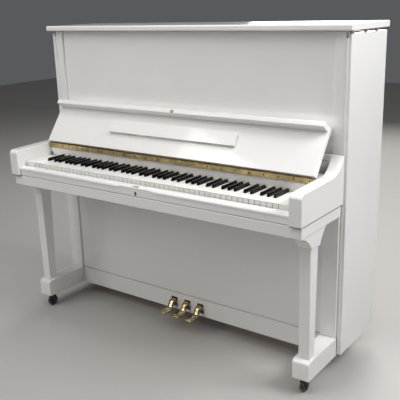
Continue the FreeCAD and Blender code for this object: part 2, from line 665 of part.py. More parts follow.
def lock():
    gap = size("running_gap")
    front = LOCK_FRONT + gap
    depth = (front, LOCK_FRONT + "lock_well_depth" - gap)
    half = size("lock_well_width") / 2 - gap
    bolt_half = size("bolt_width") / 2
    foot = BED_TOP + "lock_floor" + gap
    foot_top = BED_TOP + "lock_foot_height"
    slip_top = BED_TOP + "slip_height"
    cheeks = [box("lock_cheek_" + hand, mirrored(bolt_half + gap, half, s), depth,
                  (foot, slip_top - "lock_top_gap")) for hand, s in SIDES]
    base = box("lock_base", (-half, half), depth, (foot, foot_top))
    node(fuse("fallboard_lock", cheeks + [base]))
    bolt_front = front + "bolt_set"
    node(box("lock_bolt", (-bolt_half, bolt_half), (bolt_front, bolt_front + "bolt_depth"),
             (foot_top + gap, slip_top - "bolt_top_gap")))


# ---------------------------------------------------------------- keyboard
BLACK_SLOTS = (1, 3, 6, 8, 10)
WHITE_SLOTS = (0, 2, 4, 5, 7, 9, 11)
NOTE_NAMES = {0: "c", 1: "c_sharp", 2: "d", 3: "d_sharp"}
MIDDLE_OCTAVE = 3


def key_boxes():
    """Each of the 88 keys as (octave, slot, x places of its head or None, x places of its tail)."""
    pitch = size("white_pitch").number
    slack = size("key_slack").number / 2
    octave_width = pitch * 7
    slot_width = octave_width / 12
    start = 2 * pitch - KEYS_HALF.number
    keys = []
    for octave in range(-1, 8):
        left = start + octave * octave_width
        for slot in range(12):
            if (octave == -1 and slot < 9) or (octave == 7 and slot > 0):
                continue
            if slot in BLACK_SLOTS:
                middle = left + (slot + 0.5) * slot_width
                half = size("black_width").number / 2
                keys.append((octave, slot, None, (middle - half, middle + half)))
                continue
            place_in_octave = WHITE_SLOTS.index(slot)
            head = (left + place_in_octave * pitch + slack, left + (place_in_octave + 1) * pitch - slack)
            low = left + slot * slot_width + slack if slot - 1 in BLACK_SLOTS else head[0]
            high = left + (slot + 1) * slot_width - slack if slot + 1 in BLACK_SLOTS else head[1]
            if octave == 7:
                high = head[1]
            if octave == -1 and slot == 9:
                low = head[0]
            keys.append((octave, slot, head, (low, high)))
    return keys


def key_solids(head, tail):
    """One key: a white one has a wide head before its stick, a black one a raised, tapered top."""
    front = KEY_FRONT.number
    bottom = KEY_BOTTOM.number
    high = size("key_height").number
    reach_back = size("key_length").number
    head_length = size("head_length").number
    if head:
        stick = Part.makeBox(tail[1] - tail[0], reach_back - head_length, high,
                             Vector(tail[0], front + head_length, bottom))
        pad = Part.makeBox(head[1] - head[0], head_length, high, Vector(head[0], front, bottom))
        return [pad, stick]
    gap = size("black_gap").number
    start = front + head_length + gap
    seat = high - size("cap_seat").number
    stick = Part.makeBox(tail[1] - tail[0], reach_back - head_length - gap, seat,
                         Vector(tail[0], start, bottom))
    low = bottom + seat
    top = size("key_top").number + size("black_height").number
    long = size("black_length").number - gap
    slope = size("black_lean").number
    profile = [Vector(tail[0], start, low), Vector(tail[0], start + long, low),
               Vector(tail[0], start + long, top), Vector(tail[0], start + slope, top),
               Vector(tail[0], start, low)]
    cap = Part.Face(Part.makePolygon(profile)).extrude(Vector(tail[1] - tail[0], 0, 0))
    return stick.fuse(cap).removeSplitter().Solids


def keyboard():
    groups = {"white_keys_bass": [], "black_keys_bass": [], "white_keys_treble": [],
              "black_keys_treble": []}
    for octave, slot, head, tail in key_boxes():
        solids = key_solids(head, tail)
        if octave == MIDDLE_OCTAVE and slot in NOTE_NAMES:
            node(feature("key_%s4" % NOTE_NAMES[slot], solids))
            continue
        colour = "white" if head else "black"
        register = "bass" if octave < MIDDLE_OCTAVE else "treble"
        groups["%s_keys_%s" % (colour, register)] += solids
    for label, solids in groups.items():
        node(feature(label, solids))


def key_frame():
    half = KEYS_HALF
    gap = size("rail_clearance")
    balance = KEY_FRONT + "balance_reach"
    balance_half = size("balance_rail_width") / 2
    rear = KEY_FRONT + size("key_length") - "back_rail_inset"
    front = KEY_FRONT + "front_rail_inset"
    front_top = BED_TOP + "front_rail_height"
    rails = [
        box("front_rail", (-half, half), (front, front + "front_rail_width"), (BED_TOP, front_top)),
        box("balance_rail", (-half, half),
            (balance - balance_half, balance + balance_half), (BED_TOP, KEY_BOTTOM - gap)),
        box("back_rail", (-half, half), (rear, rear + "back_rail_width"), (BED_TOP, KEY_BOTTOM - gap))]
    pins = []
    for octave, slot, head, tail in key_boxes():
        middle = (tail[0] + tail[1]) / 2
        foot = Vector(middle, (front + size("front_rail_width") / 2).number, front_top.number)
        pins.append(Part.makeCylinder(size("front_pin_radius").number, size("front_pin_height").number,
                                      foot, Vector(0, 0, 1)))
    front_pins = feature("front_rail_pins", pins)
    node(group("key_frame", rails + [front_pins]))


# ---------------------------------------------------------------- pedals and linkage
PEDALS = (("left", -1), ("middle", 0), ("right", 1))


def lever_place(i):
    """Y place of the trap lever and rod that pedal -1, 0 or 1 works."""
    return reach(size("pedal_pivot_reach") - "lever_setback") + size("lever_spacing") * (i - 1)


def lever_pivot(i):
    """X place of a trap lever's pivot, midway between its rod and its pedal."""
    return (size("pedal_pitch") * i - "rod_place") / 2


def pedals():
    for hand, i in PEDALS:
        x = size("pedal_pitch") * i
        wide = size("pedal_width") / 2
        thick = size("pedal_thickness")
        back = size("pedal_pivot_reach") - "pedal_tip_reach"
        rise = size("pedal_height") - "pad_height"
        neck = size("pad_length") + "neck_length"
        outline = [(0, -thick / 2), ("pad_length", -thick / 2), (neck, rise - thick / 2),
                   (back + "pedal_tail", rise - thick / 2), (back + "pedal_tail", rise + thick / 2),
                   (neck - "neck_lead", rise + thick / 2),
                   (size("pad_length") - "neck_lead", thick / 2),
                   (0, thick / 2)]
        arm = padded("pedal_arm_" + hand, "YZ_Plane", outline, wide * 2,
                     (x - wide, reach("pedal_tip_reach"), "pad_height"))
        pad = box("pedal_pad_" + hand, (x - size("pad_width") / 2, x + size("pad_width") / 2),
                  (reach("pedal_tip_reach"),
                   reach("pedal_tip_reach") + size("pad_length") - "pad_shoulder"),
                  (size("pad_height") - thick / 2, size("pad_height") + thick / 2))
        blank = fuse("pedal_blank_" + hand, [arm, pad])
        bore = rod("pedal_bore_" + hand, "pedal_bore_radius", (wide + "overcut") * 2,
                   (x - wide - "overcut", reach("pedal_pivot_reach"), "pedal_height"), Vector(1, 0, 0))
        lever_foot = size("lever_height") - size("lever_size") / 2
        link = rod("pedal_link_" + hand, "link_radius",
                   lever_foot - "running_gap" - "pedal_height" - thick / 2,
                   (x, lever_place(i), size("pedal_height") + thick / 2), Vector(0, 0, 1))
        node(group("pedal_" + hand, [cut("pedal_lever_" + hand, blank, bore), link]))


def linkage():
    names = {-1: "soft_rod", 0: "muffler_rod", 1: "damper_rod"}
    for hand, i in PEDALS:
        y = lever_place(i)
        half = size("lever_size") / 2
        right = size("pedal_pitch") * i + "lever_end"
        left = -size("rod_place") - "lever_end"
        node(box("trap_lever_" + hand, (left, right), (y - half, y + half),
                 (size("lever_height") - half, size("lever_height") + half)))
        foot = size("lever_height") + half + "rod_gap"
        node(rod(names[i], "rod_radius", size("rod_top") - foot, (-size("rod_place"), y, foot),
                 Vector(0, 0, 1)))


# ---------------------------------------------------------------- back frame, plate and strings
POSTS = 5
RIBS = 7
RIB_LEAD = 0.6
RIB_SPACES = 7.2
# the treble bridge's two lengths, (left end, length), and how far along it climbs by one
TREBLE_BRIDGES = ((-370, 430), (142, 360))
BRIDGE_CLIMB = 3.0
BASS_BRIDGE = (-560, -130)
PLATE_BAR = 100
NOTES = 88
BASS_NOTES = 26
BASS_LEAN = 120
TREBLE_LEAN = 130
BASS_FOOT = 180
TREBLE_FOOT = 420
FOOT_STEP = 5
BASS_RADIUS = 1.9
BASS_THINNING = 0.03
TREBLE_RADIUS = 0.6
PIN_RADIUS = 3.4
PIN_REACH = 34
PIN_ROWS = 3
PIN_ROW = 22
DAMPER_DROP = 30
DAMPER_FELT = 9
BACK_TOP = SIDE_TOP - "back_top_gap"


def back_frame():
    inner = SIDE_INNER - "back_side_gap"
    top = BACK_TOP
    low = size("side_lift") + "bottom_board_thickness"
    front = reach("soundboard_reach") + "soundboard_thickness"
    parts = [box("top_beam", (-inner, inner), (front, REAR), (top - "beam_height", top)),
             box("bottom_beam", (-inner, inner), (front, REAR), (low, low + "bottom_beam_height")),
             box("pin_block", (-inner, inner), (reach("plate_reach") + "plate_thickness", front),
                 (top - "beam_height", top))]
    for i in range(POSTS):
        x = (inner - size("post_width") / 2) * (i * 2 / (POSTS - 1) - 1)
        parts.append(box("post_%d" % i, (x - size("post_width") / 2, x + size("post_width") / 2),
                         (REAR - "post_depth", REAR),
                         (low + "bottom_beam_height", top - "beam_height")))
    node(group("back_frame", parts))


def soundboard():
    inner = SIDE_INNER - "soundboard_side_gap"
    top = BACK_TOP
    low = size("side_lift") + "bottom_board_thickness"
    front = reach("soundboard_reach")
    back = front + "soundboard_thickness"
    parts = [box("soundboard_panel", (-inner, inner), (front, back),
                 (low + "soundboard_foot", top - "beam_height" - "soundboard_top_gap"))]
    span = top - "beam_height" - low - "bottom_beam_height"
    for i in range(RIBS):
        z = low + "bottom_beam_height" + span * (i + RIB_LEAD) / RIB_SPACES
        parts.append(box("rib_%d" % i, (-inner + "rib_inset", inner - "rib_inset"),
                         (back, REAR - "post_depth" - "snug_gap"), (z, z + "rib_width")))
    parts += bridges(front)
    node(group("soundboard", parts))


def bridges(board_front):
    """The treble bridge climbs to the right, in two lengths; the bass bridge stands lower."""
    start = reach("string_reach") + TREBLE_RADIUS + "running_gap"
    parts = []
    for i, (left, length) in enumerate(TREBLE_BRIDGES):
        foot = size("treble_bridge_height") + (left - TREBLE_BRIDGES[0][0]) / BRIDGE_CLIMB
        part = box("treble_bridge_%d" % i, (left, size(left) + length), (start, board_front),
                   (foot, foot + "bridge_height"))
        parts.append(lean(part, -size("bridge_slope"), Vector(0, 1, 0)))
    parts.append(box("bass_bridge", BASS_BRIDGE,
                     (bass_plane() + BASS_RADIUS + "running_gap", board_front),
                     ("bass_bridge_height", size("bass_bridge_height") + "bridge_height")))
    return parts


def bass_plane():
    """Y place of the bass strings, which cross in front of the treble ones."""
    return reach(size("string_reach") - "string_cross")


def iron_plate():
    inner = (SIDE_INNER - "plate_side_gap").number
    low = (size("side_lift") + "bottom_board_thickness" + "plate_foot").number
    top = (SIDE_TOP - "plate_top_gap").number
    front = reach("plate_reach").number
    thick = size("plate_thickness").number
    over = size("overcut").number
    rim = size("plate_rim").number
    bar_half = size("plate_bar_half").number
    hole_foot = low + size("plate_hitch").number
    hole_top = top - (size("beam_height") + "plate_web").number
    pin_holes = [Part.makeCylinder(PIN_RADIUS + size("running_gap").number, thick + over * 2, pin,
                                   Vector(0, 1, 0)) for pin, wire in pin_places(front - over)]
    blank = Part.makeBox(inner * 2, thick, top - low, Vector(-inner, front, low))
    bars = (-inner + rim, PLATE_BAR, inner - rim)
    for left_bar, right_bar in zip(bars, bars[1:]):
        left = left_bar + bar_half
        hole = Part.makeBox(right_bar - bar_half - left, thick + over * 2, hole_top - hole_foot,
                            Vector(left, front - over, hole_foot))
        blank = blank.cut(hole)
    blank = blank.cut(Part.makeCompound(pin_holes))
    node(feature("iron_plate", [blank.Solids[0]]))


def string_top():
    return (BACK_TOP - size("beam_height") / 2 - "pin_field_drop").number


def bass_foot(i):
    return BASS_FOOT + FOOT_STEP * i


def bass_radius(i):
    return BASS_RADIUS - BASS_THINNING * i


def note_places():
    """The X place of each note's striking point; a break parts the bass from the treble.

    The break is as wide as the last bass string's lean at the foot of the dampers needs, so that
    the first treble damper passes beside that string.
    """
    spread = size("note_spread").number
    last = BASS_NOTES - 1
    head = string_top() + (PIN_ROWS - 1 - last % PIN_ROWS) * PIN_ROW
    damper_foot = size("butt_height").number - DAMPER_DROP
    lean_there = BASS_LEAN * (head - damper_foot) / (head - bass_foot(last))
    beside = lean_there + DAMPER_FELT / 2 + bass_radius(last) + size("break_clearance").number
    gap = (beside * (NOTES - 1) - spread) / (NOTES - 2)
    step = (spread - gap) / (NOTES - 1)
    return [-spread / 2 + i * step + (gap if i >= BASS_NOTES else 0) for i in range(NOTES)]


def pin_places(start):
    """For each note, where its tuning pin starts and its string (head, foot, radius)."""
    top = string_top()
    places = []
    for i, x in enumerate(note_places()):
        if i < BASS_NOTES:
            head = Vector(x, bass_plane().number, top + (PIN_ROWS - 1 - i % PIN_ROWS) * PIN_ROW)
            foot = Vector(x + BASS_LEAN, head.y, bass_foot(i))
            radius = bass_radius(i)
            side = -1
        else:
            head = Vector(x, reach("string_reach").number, top + (i % PIN_ROWS) * PIN_ROW)
            foot = Vector(x - TREBLE_LEAN, head.y, TREBLE_FOOT + FOOT_STEP * (i - BASS_NOTES))
            radius = TREBLE_RADIUS
            side = 1
        pin = Vector(x + side * (PIN_RADIUS + radius + size("running_gap").number), start, head.z)
        places.append((pin, (head, foot, radius)))
    return places


def strings():
    """One string and one tuning pin stand for each note's unison."""
    plate_front = reach("plate_reach").number
    length = PIN_REACH + (size("plate_thickness") - "pin_end_gap").number
    wires = []
    pins = []
    for pin, (head, foot, radius) in pin_places(plate_front - PIN_REACH):
        wires.append(Part.makeCylinder(radius, (foot - head).Length, head, foot - head))
        pins.append(Part.makeCylinder(PIN_RADIUS, length, pin, Vector(0, 1, 0)))
    node(feature("strings", wires))
    node(feature("tuning_pins", pins))


# ---------------------------------------------------------------- action
def action():
    butt_y = reach("butt_reach").number
    butt_z = size("butt_height").number
    strike = size("strike_height").number
    butt_round = size("butt_radius").number
    damper_y = reach("damper_reach").number
    damper_foot = butt_z - DAMPER_DROP
    butt_width = size("butt_width").number
    wide = size("hammer_width").number
    tall = size("hammer_height").number
    head_front = butt_y - size("hammer_set").number
    stem_width = size("damper_stem").number
    stem_front = damper_y - size("damper_set").number
    felt_front = stem_front + stem_width
    felt_foot = butt_z + size("damper_felt_rise").number
    touch = size("damper_gap").number
    bass_touch = bass_plane().number - BASS_RADIUS - touch
    treble_touch = reach("string_reach").number - TREBLE_RADIUS - touch
    hammers = []
    dampers = []
    for i, x in enumerate(note_places()):
        shank = Part.makeCylinder(size("shank_radius").number, strike - butt_z, Vector(x, butt_y, butt_z),
                                  Vector(0, 0, 1))
        butt = Part.makeCylinder(butt_round, butt_width, Vector(x - butt_width / 2, butt_y, butt_z),
                                 Vector(1, 0, 0))
        long = size("hammer_length").number - i * size("hammer_shrink").number
        head = Part.makeBox(wide, long, tall, Vector(x - wide / 2, head_front, strike - tall / 2))
        nose = Part.makeCylinder(tall / 2, wide, Vector(x - wide / 2, head_front + long, strike),
                                 Vector(1, 0, 0))
        nose = nose.common(Part.makeBox(wide, size("hammer_nose").number, tall,
                                        Vector(x - wide / 2, head_front + long, strike - tall / 2)))
        hammers.append(shank.multiFuse([butt, head, nose]).removeSplitter().Solids[0])
        plane = bass_touch if i < BASS_NOTES else treble_touch
        stem = Part.makeBox(stem_width, stem_width, size("damper_height").number,
                            Vector(x - stem_width / 2, stem_front, damper_foot))
        felt = Part.makeBox(DAMPER_FELT, plane - felt_front, size("damper_felt_height").number,
                            Vector(x - DAMPER_FELT / 2, felt_front, felt_foot))
        dampers.append(stem.fuse(felt).removeSplitter().Solids[0])
    node(feature("hammers", hammers))
    node(feature("dampers", dampers))
    action_rails()
    rail_y = reach("string_reach") - "muffler_setback"
    rail_foot = size("strike_height") + "muffler_rise"
    rail_half = SIDE_INNER - "running_gap"
    node(box("muffler_rail", (-rail_half, rail_half), (rail_y, rail_y + "muffler_thickness"),
             (rail_foot, rail_foot + "muffler_height")))


BRACKETS = 4


def action_rails():
    """The rails that carry hammers and dampers, on four brackets that stand on the key bed."""
    half = size("note_spread") / 2 + "rail_end"
    back = reach("butt_reach")
    butt = size("butt_height")
    front = back - "rail_lead"
    tail = back + "rail_tail"
    rail_top = butt - "butt_radius" - "running_gap"
    rail_foot = rail_top - "main_rail_height"
    rest_top = size("strike_height") - "rest_drop"
    damper_top = butt - DAMPER_DROP - "running_gap"
    stem_back = reach("damper_reach") - "damper_set" + "damper_stem"
    rails = [box("main_rail", (-half, half), (front, tail), (rail_foot, rail_top)),
             box("rest_rail", (-half, half), (front, back - "rest_rail_gap"),
                 (rest_top - "rest_rail_height", rest_top)),
             box("damper_rail", (-half, half), (tail, stem_back),
                 (damper_top - "damper_rail_height", damper_top))]
    bracket_half = size("bracket_thickness") / 2
    for i in range(BRACKETS):
        x = (half - "bracket_inset") * (i * 2 / (BRACKETS - 1) - 1)
        wide = (x - bracket_half, x + bracket_half)
        rails.append(box("bracket_foot_%d" % i, wide,
                         (back - "bracket_foot_lead", back + "bracket_foot_tail"), (BED_TOP, rail_foot)))
        rails.append(box("bracket_arm_%d" % i, wide, (front - "bracket_arm_depth", front),
                         (rail_foot, rest_top)))
    node(group("action_frame", rails))


side_panels()
stiles()
arms()
key_bed()
key_slip()
key_blocks()
name_board()
front_panels()
bottom_board()
legs()
casters()
lid()
fallboard()
lock()
keyboard()
key_frame()
pedals()
linkage()
back_frame()
soundboard()
iron_plate()
strings()
action()
doc.recompute()

for part in doc.Objects:
    if "Invalid" in part.State or "Error" in part.State:
        raise RuntimeError("%s failed: %s" % (part.Name, part.State))
os.makedirs("parts", exist_ok=True)
for label, part in nodes.items():
    if part.Shape.isNull() or not part.Shape.isValid():
        raise RuntimeError("%s has no valid shape" % label)
    part.Shape.exportStep("parts/%s.step" % label)
    print(label, len(part.Shape.Solids), "solids, %.0f cm3" % (part.Shape.Volume / 1000))
print(len(nodes), "nodes")
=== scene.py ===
import json
import math

import bmesh
import bpy
from mathutils import Matrix, Vector


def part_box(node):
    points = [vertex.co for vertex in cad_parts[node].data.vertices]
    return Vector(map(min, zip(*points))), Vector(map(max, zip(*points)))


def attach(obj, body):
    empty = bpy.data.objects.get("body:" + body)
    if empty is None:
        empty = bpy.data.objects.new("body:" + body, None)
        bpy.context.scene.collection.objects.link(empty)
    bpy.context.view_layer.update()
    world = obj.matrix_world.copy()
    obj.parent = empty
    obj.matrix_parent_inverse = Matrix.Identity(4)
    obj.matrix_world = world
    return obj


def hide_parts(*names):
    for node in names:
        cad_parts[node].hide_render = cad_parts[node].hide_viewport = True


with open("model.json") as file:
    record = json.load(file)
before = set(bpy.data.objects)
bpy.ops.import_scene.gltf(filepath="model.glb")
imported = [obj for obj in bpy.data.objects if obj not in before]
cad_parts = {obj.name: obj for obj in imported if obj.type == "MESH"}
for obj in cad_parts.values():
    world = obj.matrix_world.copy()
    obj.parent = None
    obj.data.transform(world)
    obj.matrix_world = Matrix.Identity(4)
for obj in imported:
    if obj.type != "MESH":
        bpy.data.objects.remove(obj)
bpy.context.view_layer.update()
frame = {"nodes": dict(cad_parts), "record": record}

millimetre = 0.001
bodyOf = {node: body for body, nodes in frame["record"]["behaviour"]["bodies"].items() for node in nodes}
slotOf = {row["node"]: row["material_slot"] for row in frame["record"]["subparts"]}


# ---- camera, lights and floor
cameraView = {"place": (1.6665, -2.1313, 1.3768), "turn": 36.60, "down": 16.43, "roll": -1.69, "lens": 59.64}
lightSet = {"key": {"at": (-1.9, -3.0, 3.1), "size": 2.2, "power": 54, "colour": (1.0, 0.985, 0.96)},
            "top": {"at": (0.3, -1.1, 3.7), "size": 2.4, "power": 60, "colour": (1.0, 1.0, 1.0)},
            "side": {"at": (2.3, 0.2, 2.5), "size": 1.2, "power": 64, "colour": (0.98, 0.985, 1.0)},
            "rear": {"at": (-1.0, 4.2, 2.6), "size": 2.6, "power": 110, "colour": (1.0, 0.98, 0.95)}}
roomLook = {"floor": (0.44, 0.425, 0.405), "world": (0.50, 0.51, 0.53), "worldStrength": 0.2,
            "transform": "Standard"}


def addNode(tree, kind, inputs=None, **settings):
    node = tree.nodes.new(kind)
    for key, value in settings.items():
        setattr(node, key, value)
    for key, value in (inputs or {}).items():
        if isinstance(value, bpy.types.NodeSocket):
            tree.links.new(value, node.inputs[key])
        else:
            node.inputs[key].default_value = value
    return node


def makeCamera():
    data = bpy.data.cameras.new("camera")
    data.lens = cameraView["lens"]
    camera = bpy.data.objects.new("camera", data)
    bpy.context.scene.collection.objects.link(camera)
    turn = Matrix.Rotation(math.radians(cameraView["turn"]), 4, "Z")
    tilt = Matrix.Rotation(math.radians(90 - cameraView["down"]), 4, "X")
    roll = Matrix.Rotation(math.radians(cameraView["roll"]), 4, "Z")
    camera.matrix_world = Matrix.Translation(cameraView["place"]) @ turn @ tilt @ roll
    bpy.context.scene.camera = camera


def makeLights():
    aim = Vector((0, 0, 0.7))
    for name, look in lightSet.items():
        data = bpy.data.lights.new(name + "Light", "AREA")
        data.shape = "SQUARE"
        data.size = look["size"]
        data.energy = look["power"]
        data.color = look["colour"]
        light = bpy.data.objects.new(name + "Light", data)
        bpy.context.scene.collection.objects.link(light)
        light.location = look["at"]
        light.rotation_mode = "QUATERNION"
        light.rotation_quaternion = (aim - Vector(look["at"])).to_track_quat("-Z", "Y")
    world = bpy.data.worlds.new("softRoom")
    world.use_nodes = True
    world.node_tree.nodes["Background"].inputs["Color"].default_value = (*roomLook["world"], 1)
    world.node_tree.nodes["Background"].inputs["Strength"].default_value = roomLook["worldStrength"]
    bpy.context.scene.world = world
    bpy.context.scene.view_settings.view_transform = roomLook["transform"]


def makeFloor():
    half = 9
    floor = newPiece("floor", [(-half, -half, 0), (half, -half, 0), (half, half, 0), (-half, half, 0)],
                     [(0, 1, 2, 3)])
    material = newMaterial("paleFloor", roomLook["floor"], 0.5)[0]
    floor.data.materials.append(material)


# ---- meshes: new pieces, rounded copies of the frame's nodes, lofts and lathe work
def newPiece(name, points, faces, edges=()):
    mesh = bpy.data.meshes.new(name)
    mesh.from_pydata([tuple(p) for p in points], list(edges), faces)
    if len(mesh.polygons):
        mesh.shade_smooth()
    piece = bpy.data.objects.new(name, mesh)
    bpy.context.scene.collection.objects.link(piece)
    return piece


def bakeModifiers(piece):
    # the evaluated shape becomes the piece's own plain mesh
    bpy.context.view_layer.update()
    graph = bpy.context.evaluated_depsgraph_get()
    mesh = bpy.data.meshes.new_from_object(piece.evaluated_get(graph))
    mesh.name = piece.name
    piece.modifiers.clear()
    piece.data = mesh
    return piece


def roundEdges(piece, width, segments=3, angle=32):
    bevel = piece.modifiers.new("roundEdges", "BEVEL")
    bevel.width = width
    bevel.segments = segments
    bevel.limit_method = "ANGLE"
    bevel.angle_limit = math.radians(angle)
    bevel.harden_normals = True
    return bakeModifiers(piece)


def cleanMesh(node):
    # the node's loose triangles, merged and with its flat faces made whole
    return mergedFaces(frame["nodes"][node].data)


def mergedFaces(mesh):
    work = bmesh.new()
    work.from_mesh(mesh)
    bmesh.ops.remove_doubles(work, verts=work.verts, dist=2e-6)
    bmesh.ops.dissolve_limit(work, angle_limit=math.radians(0.8), verts=work.verts, edges=work.edges)
    work.verts.index_update()
    points = [v.co.copy() for v in work.verts]
    faces = [[v.index for v in f.verts] for f in work.faces]
    work.free()
    return points, faces


def jointedMesh(node):
    # as cleanMesh, but solids that touch stay apart: a solid is whole when each edge has been met twice
    source = frame["nodes"][node].data
    points, faces, solid, unmet = [], [], [], set()
    for polygon in source.polygons:
        corners = [tuple(round(c, 6) for c in source.vertices[i].co) for i in polygon.vertices]
        solid.append(corners)
        for a, b in zip(corners, corners[1:] + corners[:1]):
            if (b, a) in unmet:
                unmet.remove((b, a))
            elif a != b:
                unmet.add((a, b))
        if not unmet:
            mesh = bpy.data.meshes.new("solid")
            triangles = [(3 * i, 3 * i + 1, 3 * i + 2) for i in range(len(solid))]
            mesh.from_pydata([p for face in solid for p in face], [], triangles)
            solidPoints, solidFaces = mergedFaces(mesh)
            bpy.data.meshes.remove(mesh)
            faces += [[len(points) + i for i in face] for face in solidFaces]
            points += solidPoints
            solid = []
    return points, faces


def nodeSolids(node):
    # the corner points of each separate solid of a node
    points, faces = cleanMesh(node)
    owner = list(range(len(points)))

    def root(i):
        while owner[i] != i:
            owner[i] = owner[owner[i]]
            i = owner[i]
        return i
    for face in faces:
        for i in face[1:]:
            owner[root(i)] = root(face[0])
    solids = {}
    for i, point in enumerate(points):
        solids.setdefault(root(i), []).append(point)
    return sorted(solids.values(), key=lambda solid: (min(p.x for p in solid), min(p.y for p in solid)))


def keySolids(node):
    # a white key's head and stick may be separate solids, one behind the other
    keys = []
    for solid in nodeSolids(node):
        low, high = spanOf(solid)
        middle = (low.x + high.x) / 2
        mate = next((key for key in keys if spanOf(key)[0].x < middle < spanOf(key)[1].x
                     or low.x < (spanOf(key)[0].x + spanOf(key)[1].x) / 2 < high.x), None)
        if mate is None:
            keys.append(list(solid))
        else:
            mate += solid
    return keys


def spanOf(solid):
    low = Vector(min(p[axis] for p in solid) for axis in range(3))
    high = Vector(max(p[axis] for p in solid) for axis in range(3))
    return low, high


def nodeSpans(node):
    return [spanOf(solid) for solid in nodeSolids(node)]


def finishPiece(piece, material, body, node=None):
    # material, body and the node that the piece stands for
    if material is not None:
        piece.data.materials.clear()
        piece.data.materials.append(material)
    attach(piece, body)
    if node:
        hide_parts(*([node] if isinstance(node, str) else node))
    return piece


def shapedNode(node, width, material, segments=3, angle=32, trim=0.0, headTrim=0.0, jointed=False):
    # a trim moves the lowest or highest face in, which leaves a quirk between the node and its neighbour
    points, faces = jointedMesh(node) if jointed else cleanMesh(node)
    foot = min(p.z for p in points) + 0.1 * millimetre
    head = max(p.z for p in points) - 0.1 * millimetre
    for point in points:
        if point.z < foot:
            point.z += trim
        elif point.z > head:
            point.z -= headTrim
    piece = newPiece("shaped_" + node, points, faces)
    roundEdges(piece, width, segments, angle)
    low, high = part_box(node)
    for vertex in piece.data.vertices:
        vertex.co = [min(max(c, a), b) for c, a, b in zip(vertex.co, low, high)]
    return finishPiece(piece, material, bodyOf[node], node)


def loft(name, rings, capped=True):
    # rings of equal length, joined in order; the ends are closed
    count = len(rings[0])
    points = [p for ring in rings for p in ring]
    faces = []
    for k in range(len(rings) - 1):
        for i in range(count):
            j = (i + 1) % count
            faces.append((k * count + i, k * count + j, (k + 1) * count + j, (k + 1) * count + i))
    if capped:
        faces.append(tuple(reversed(range(count))))
        faces.append(tuple(range((len(rings) - 1) * count, len(rings) * count)))
    piece = newPiece(name, points, faces)
    outward(piece)
    return piece


def outward(piece):
    work = bmesh.new()
    work.from_mesh(piece.data)
    bmesh.ops.remove_doubles(work, verts=work.verts, dist=1e-6)
    bmesh.ops.recalc_face_normals(work, faces=work.faces)
    work.to_mesh(piece.data)
    work.free()


def roundRing(halfWide, halfTall, count, power, place):
    # a superellipse; place turns its two coordinates into a point
    ring = []
    for i in range(count):
        angle = 2 * math.pi * i / count
        c, s = math.cos(angle), math.sin(angle)
        a = halfWide * math.copysign(abs(c) ** (2 / power), c)
        b = halfTall * math.copysign(abs(s) ** (2 / power), s)
        ring.append(place(a, b))
    return ring


def turned(name, profile, along, centre, steps=32, capped=True):
    # lathe work: profile gives (radius, distance along the axis)
    axis = Vector(along).normalized()
    side = axis.orthogonal().normalized()
    across = axis.cross(side)
    rings = []
    for radius, distance in profile:
        ring = []
        for i in range(steps):
            angle = 2 * math.pi * i / steps
            ring.append(Vector(centre) + axis * distance
                        + (side * math.cos(angle) + across * math.sin(angle)) * max(radius, 2e-6))
        rings.append(ring)
    return loft(name, rings, capped)


def slab(name, outline, halfWide, soften=0.0):
    # an outline of (y, z) points given a width along x, with softened rims
    middle = Vector((0, sum(p[0] for p in outline) / len(outline), sum(p[1] for p in outline) / len(outline)))
    reach = max((Vector((0, *p)) - middle).length for p in outline)
    rings = []
    for x, inset in ((-halfWide, soften), (soften - halfWide, 0), (halfWide - soften, 0), (halfWide, soften)):
        if soften == 0 and inset == 0 and len(rings) == 1:
            continue
        scale = 1 - inset / reach
        rings.append([Vector((x, middle.y + (p[0] - middle.y) * scale, middle.z + (p[1] - middle.z) * scale))
                      for p in outline])
    return loft(name, rings)


# ---- shader groups, shared by the materials
def startGroup(name, inputs, outputs, kind="ShaderNodeTree"):
    tree = bpy.data.node_groups.new(name, kind)
    for label, (socketKind, value) in inputs.items():
        socket = tree.interface.new_socket(name=label, in_out="INPUT", socket_type=socketKind)
        if value is not None:
            socket.default_value = value
    for label, socketKind in outputs.items():
        tree.interface.new_socket(name=label, in_out="OUTPUT", socket_type=socketKind)
    return tree, tree.nodes.new("NodeGroupInput"), tree.nodes.new("NodeGroupOutput")


def calculate(tree, operation, first, second=None, clamp=False):
    values = {0: first} if second is None else {0: first, 1: second}
    return addNode(tree, "ShaderNodeMath", values, operation=operation, use_clamp=clamp).outputs[0]


def objectPlace(tree):
    return addNode(tree, "ShaderNodeTexCoord").outputs["Object"]


def noise(tree, place, scale, detail, roughness=0.5, distortion=0.0):
    inputs = {"Vector": place, "Scale": scale, "Detail": detail, "Roughness": roughness,
              "Distortion": distortion}
    return addNode(tree, "ShaderNodeTexNoise", inputs).outputs["Fac"]


def connect(tree, target, sockets):
    for label, socket in sockets.items():
        tree.links.new(socket, target.inputs[label])


def spread(tree, value, low, high, newLow=0.0, newHigh=1.0):
    # a value's range stretched to another range, clamped
    return addNode(tree, "ShaderNodeMapRange", {"Value": value, "From Min": low, "From Max": high,
                                                "To Min": newLow, "To Max": newHigh}).outputs[0]


def blendColours(tree, factor, first, second):
    return addNode(tree, "ShaderNodeMix", {0: factor, 6: first, 7: second}, data_type="RGBA").outputs[2]


